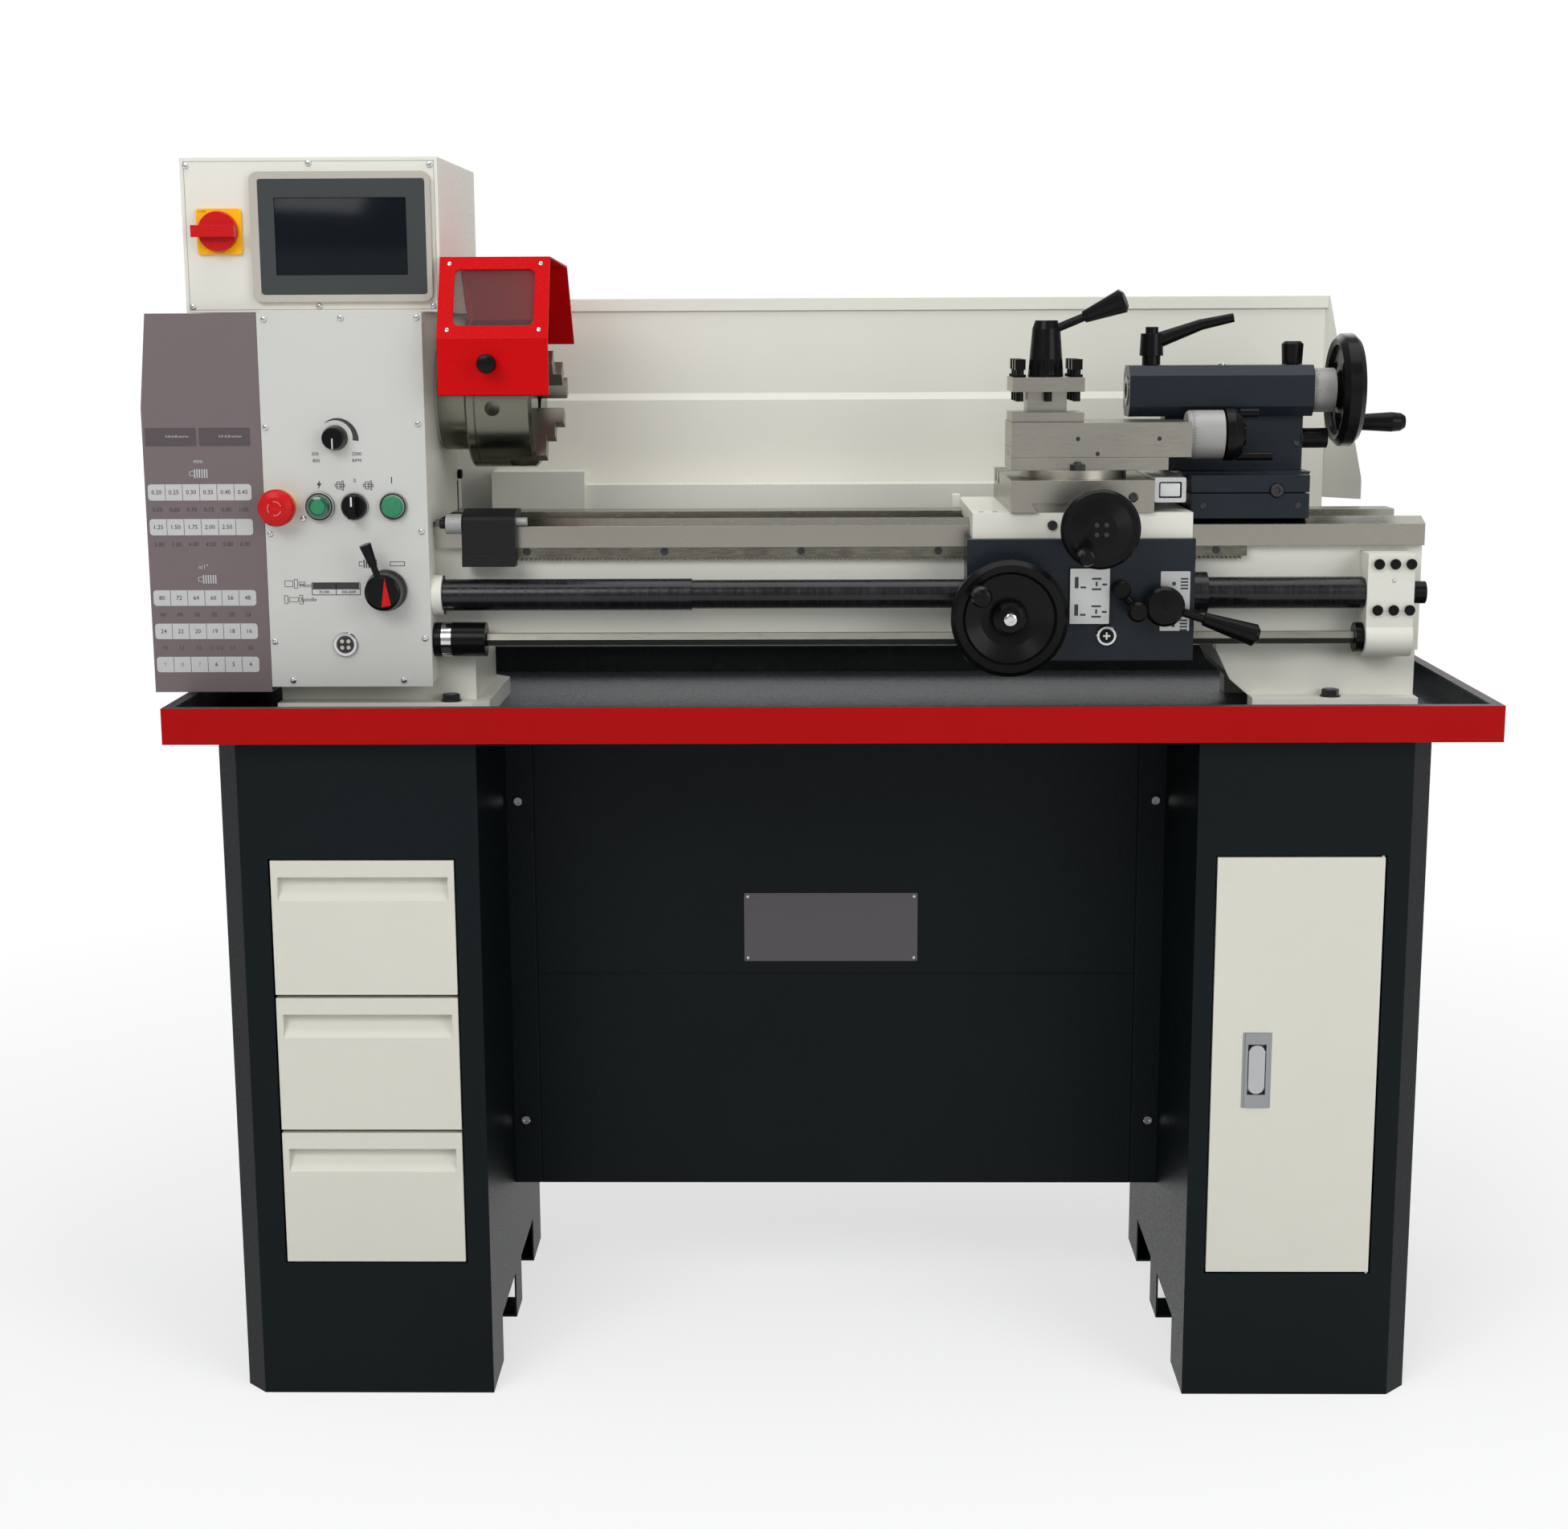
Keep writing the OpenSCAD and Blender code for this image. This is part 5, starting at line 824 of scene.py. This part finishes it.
front_plate(lever_plate, *LEVER_LABEL, APRON_FRONT - 0.9, 1, thick=1.0)
finish_mesh("lever_plate", lever_plate,
            material("lever_plate", style((0.50, 0.51, 0.50), 0.35, metal=0.6)), "carriage")
lever_marks = bmesh.new()
for z in (882, 838):
    for i in range(4):
        front_bar(lever_marks, 385, z + 3.4 * i, 393, z + 1.8 + 3.4 * i, APRON_FRONT - 1.1)
    front_plate(lever_marks, 376, z + 4, 380, z + 8, APRON_FRONT - 1.1, 1.2, arc=2)
finish_mesh("lever_marks", lever_marks, ink, "carriage")
APRON_SIGHT = (308, APRON_FRONT, 833)
turned("apron_sight_ring", [(11.2, -1), (11.2, 2.4), (10, 3.6), (7.8, 3.7), (7.4, 3.0)],
       APRON_SIGHT, chrome, "carriage")
turned("apron_sight_glass", [(7.6, 2.6), (7.2, 3.3), (0, 3.6)], APRON_SIGHT, black, "carriage")
sight_cross = bmesh.new()
front_bar(sight_cross, 304.2, 832.1, 311.8, 833.9, APRON_FRONT - 3.75, 0.3)
front_bar(sight_cross, 307.1, 829.2, 308.9, 836.8, APRON_FRONT - 3.8, 0.3)
finish_mesh("apron_sight_cross", sight_cross, white_mark, "carriage")
screws("saddle_screws", cap_screw, [(250, -130, 949)], 5.2, 3.0, dark_steel, "carriage")
screws("saddle_top_screws", cap_screw, [(x, -118, SADDLE_TOP) for x in (176, 190)], 3.2, 0.8,
       chrome, "carriage", UP)
block("rear_wiper", [157, 92, 948], [166.5, 107, 966], cream_sheet, "carriage", 0.8)
WHEEL_FACE, NUT_FACE = -188.2, -193.0
HANDLE_END, CROSS_HANDLE_END = (170, -226.4, 884), (273, -254.3, 927)
turned("handwheel_hub", [(14.2, 0), (14.2, 3), (12.5, 3.6), (9, 3.8)],
       (WHEEL_X, WHEEL_FACE, WHEEL_Z), black, "carriage_handwheel")
turned("handwheel_nut", [(6.6, 0), (6.6, 3.2), (5.2, 4.2), (3.4, 4.3), (3.3, 2.4)],
       (WHEEL_X, NUT_FACE, WHEEL_Z), chrome, "carriage_handwheel")
screws("handle_screws", pan_screw, [HANDLE_END], 4.4, 0.5, chrome, "carriage_handwheel")
screws("cross_handle_screws", pan_screw, [CROSS_HANDLE_END], 3.8, 0.4, chrome, "cross_handwheel")
CROSS_FACE, PIN_CIRCLE = -215.3, 7
hub_pins = bmesh.new()
for a in (45, 135, 225, 315):
    a = math.radians(a)
    add_rings(hub_pins, [(circle(2.6, COARSE), 0), (circle(2.4, COARSE), 0.3)],
              (CROSS_X + PIN_CIRCLE * math.cos(a), CROSS_FACE, CROSS_Z + PIN_CIRCLE * math.sin(a)))
finish_mesh("cross_hub_pins", hub_pins, dark_steel, "cross_handwheel")

# cover of the cross slide's measuring scale
alu = material("aluminium", style((0.60, 0.61, 0.61), 0.35, metal=0.9, vary=0.05, grain=700,
                                  stretch=(1, 0.08, 1), grain_tone=0.05))
SCALE_OUTSIDE, SCALE_HOLE = (358, 972, 391, 998), (362.5, 976.5, 386.5, 993.5)
frame_plate("scale_cover", SCALE_OUTSIDE, SCALE_HOLE, -122, 96, alu, 1.6, "cross_slide", 2)
block("scale_block", [364, -121, 978], [385, 90, 992], label_white, "cross_slide", 1.0)
screws("cross_gib_screws", cap_screw, [(334, CROSS_FRONT, 979)], 4.6, 1.4, dark_steel,
       "cross_slide")
screws("top_slide_screws", cap_screw,
       [(x, SLIDE_LOW[1], z) for x, z in ((278, 1038), (364, 1038), (299, 1022))], 2.1, 0.5,
       dark_steel, "top_slide")
nuts = bmesh.new()
for y in (-110, -14):
    add_rings(nuts, [(hexagon(8), 0), (hexagon(8), 6), (circle(6.4), 6.6), (circle(3.4), 6.7),
                     (circle(3.2), 9)], (278, y, 1005), UP)
finish_mesh("swivel_nuts", nuts, dark_steel, "swivel_base")


HALF_MARK, MARK_PROUD = 0.18, 0.06


def dial_marks(name, centre, axis, radius, start, count, body, length=3.0):
    """Graduation lines around a dial whose axis lies along axis (0 = X, 1 = Y)."""
    bm = bmesh.new()
    up = Vector(UP)
    side, along = [Vector(v) for v in (((0, 1, 0), RIGHT) if axis == 0 else (RIGHT, FRONT))]
    for i in range(count):
        a = 2 * math.pi * i / count
        out = up * math.cos(a) + side * math.sin(a)
        half = (side * math.cos(a) - up * math.sin(a)) * HALF_MARK
        base = Vector(centre) + out * (radius + MARK_PROUD) + along * start
        tip = base + along * length * (1.9 if i % 10 == 0 else 1.0)
        bm.faces.new([bm.verts.new(c) for c in (base - half, base + half, tip + half, tip - half)])
    return finish_mesh(name, bm, ink, body)


dial_marks("top_dial_marks", (SLIDE_HIGH[0] + 0.4, TOP_Y, TOP_Z), 0, 26, 4.0, 100, "top_handwheel")
dial_marks("tail_dial_marks", (542.4, 0, AXIS_Z), 0, 24, 1.5, 80, "tailstock_handwheel")
dial_marks("cross_dial_marks", (CROSS_X, -150.4, CROSS_Z), 1, 20, 1.5, 80, "cross_handwheel", 2.4)

# ---------------------------------------------------------------- tailstock

screws("tail_clamp_screw", cap_screw, [(492, -91, 982)], 7.0, 4.0, dark_steel, "tailstock")
screws("tail_base_screws", cap_screw, [(414, -92, 966), (515, -92, 966)], 3.2, 0.6, dark_steel,
       "tailstock")
turned("tail_pin_hole", [(3.6, 0), (3.6, 0.5), (2.8, 0.9), (2.6, 0.4), (0, 0.3)],
       (528, -9.1, 1028), dark_steel, "tailstock")
turned("tail_oil_cap", [(4, 0), (4, 1.5), (2.6, 2.4), (0, 2.6)], (445, 0, 1112.4), chrome,
       "tailstock", UP)

# ---------------------------------------------------------------- floor, lights, camera; in metres

FLOOR_REACH = 14.0
WHITE_FROM, WHITE_TO = 1.0, 2.3  # the floor turns white between these distances
WHITE_NEAR = 0.62  # and is this white before
floor_mesh = bpy.data.meshes.new("floor")
floor_mesh.from_pydata([(x * FLOOR_REACH, y * FLOOR_REACH, 0)
                        for x, y in ((-1, -1), (1, -1), (1, 1), (-1, 1))], [], [(0, 1, 2, 3)])
floor = bpy.data.objects.new("floor", floor_mesh)
bpy.context.scene.collection.objects.link(floor)
ground = Shader("studio_floor")
diffuse = ground.add("BsdfDiffuse", Color=(0.82, 0.82, 0.82, 1), Roughness=1.0).outputs[0]
white = ground.add("Emission", Color=(1, 1, 1, 1), Strength=1.0).outputs[0]
path = ground.add("LightPath").outputs
seen = ground.math("MAXIMUM", path["Is Camera Ray"], path["Is Glossy Ray"])
seen = ground.math("MAXIMUM", seen, path["Is Transmission Ray"])
away = ground.add("VectorMath", {"operation": "LENGTH"}, Vector=ground.coords).outputs["Value"]
glow = ground.math("MULTIPLY", seen, ground.spread(away, WHITE_FROM, WHITE_TO, WHITE_NEAR, 1.0))
ground.feed(ground.output, ground.mix(glow, diffuse, white))
floor_mesh.materials.append(ground.material)

for name, place, target, size, power in (
        ("key_light", (-1.6, -3.2, 3.0), (0, 0, 0.9), (2.2, 1.6), 56),
        ("fill_light", (2.4, -2.6, 1.9), (0.1, 0, 0.8), (2.0, 2.0), 36),
        ("top_light", (0.0, -0.2, 3.4), (0, 0, 0.9), (3.2, 2.2), 46),
        ("rear_light", (0.6, 3.0, 2.6), (0, 0, 0.9), (3.0, 1.6), 26)):
    data = bpy.data.lights.new(name, "AREA")
    data.shape = "RECTANGLE"
    data.size, data.size_y = size
    data.energy = power
    lamp = bpy.data.objects.new(name, data)
    lamp.location = place
    lamp.rotation_euler = (Vector(target) - Vector(place)).to_track_quat("-Z", "Y").to_euler()
    bpy.context.scene.collection.objects.link(lamp)

world = bpy.data.worlds.new("studio")
bpy.context.scene.world = world
world.use_nodes = True
tree = world.node_tree
tree.nodes.clear()
out = tree.nodes.new("ShaderNodeOutputWorld")
chooser = tree.nodes.new("ShaderNodeMixShader")
world_path = tree.nodes.new("ShaderNodeLightPath")
tree.links.new(world_path.outputs["Is Camera Ray"], chooser.inputs[0])
for socket, color, strength in ((1, (0.94, 0.96, 1.0, 1), 0.42), (2, (1, 1, 1, 1), 1.0)):
    background = tree.nodes.new("ShaderNodeBackground")
    background.inputs["Color"].default_value = color
    background.inputs["Strength"].default_value = strength
    tree.links.new(background.outputs[0], chooser.inputs[socket])
tree.links.new(chooser.outputs[0], out.inputs[0])

# the photographer's place and line of sight
EYE = (0.002, -2.631, 1.16075)
LENS = 54.33
YAW, PITCH, ROLL = math.radians(-0.8213), math.radians(10.593), math.radians(0.261)
ahead = Vector((math.sin(YAW) * math.cos(PITCH), math.cos(YAW) * math.cos(PITCH),
                -math.sin(PITCH)))
level = Vector((math.cos(YAW), -math.sin(YAW), 0))
down = ahead.cross(level)
right_hand = level * math.cos(ROLL) + down * math.sin(ROLL)
below = down * math.cos(ROLL) - level * math.sin(ROLL)
camera_data = bpy.data.cameras.new("camera")
camera_data.lens = LENS
camera_data.sensor_width = 36
camera = bpy.data.objects.new("camera", camera_data)
turn = Matrix((right_hand, -below, -ahead)).transposed().to_4x4()
camera.matrix_world = Matrix.Translation(EYE) @ turn
bpy.context.scene.collection.objects.link(camera)
bpy.context.scene.camera = camera
bpy.context.scene.view_settings.view_transform = "Standard"
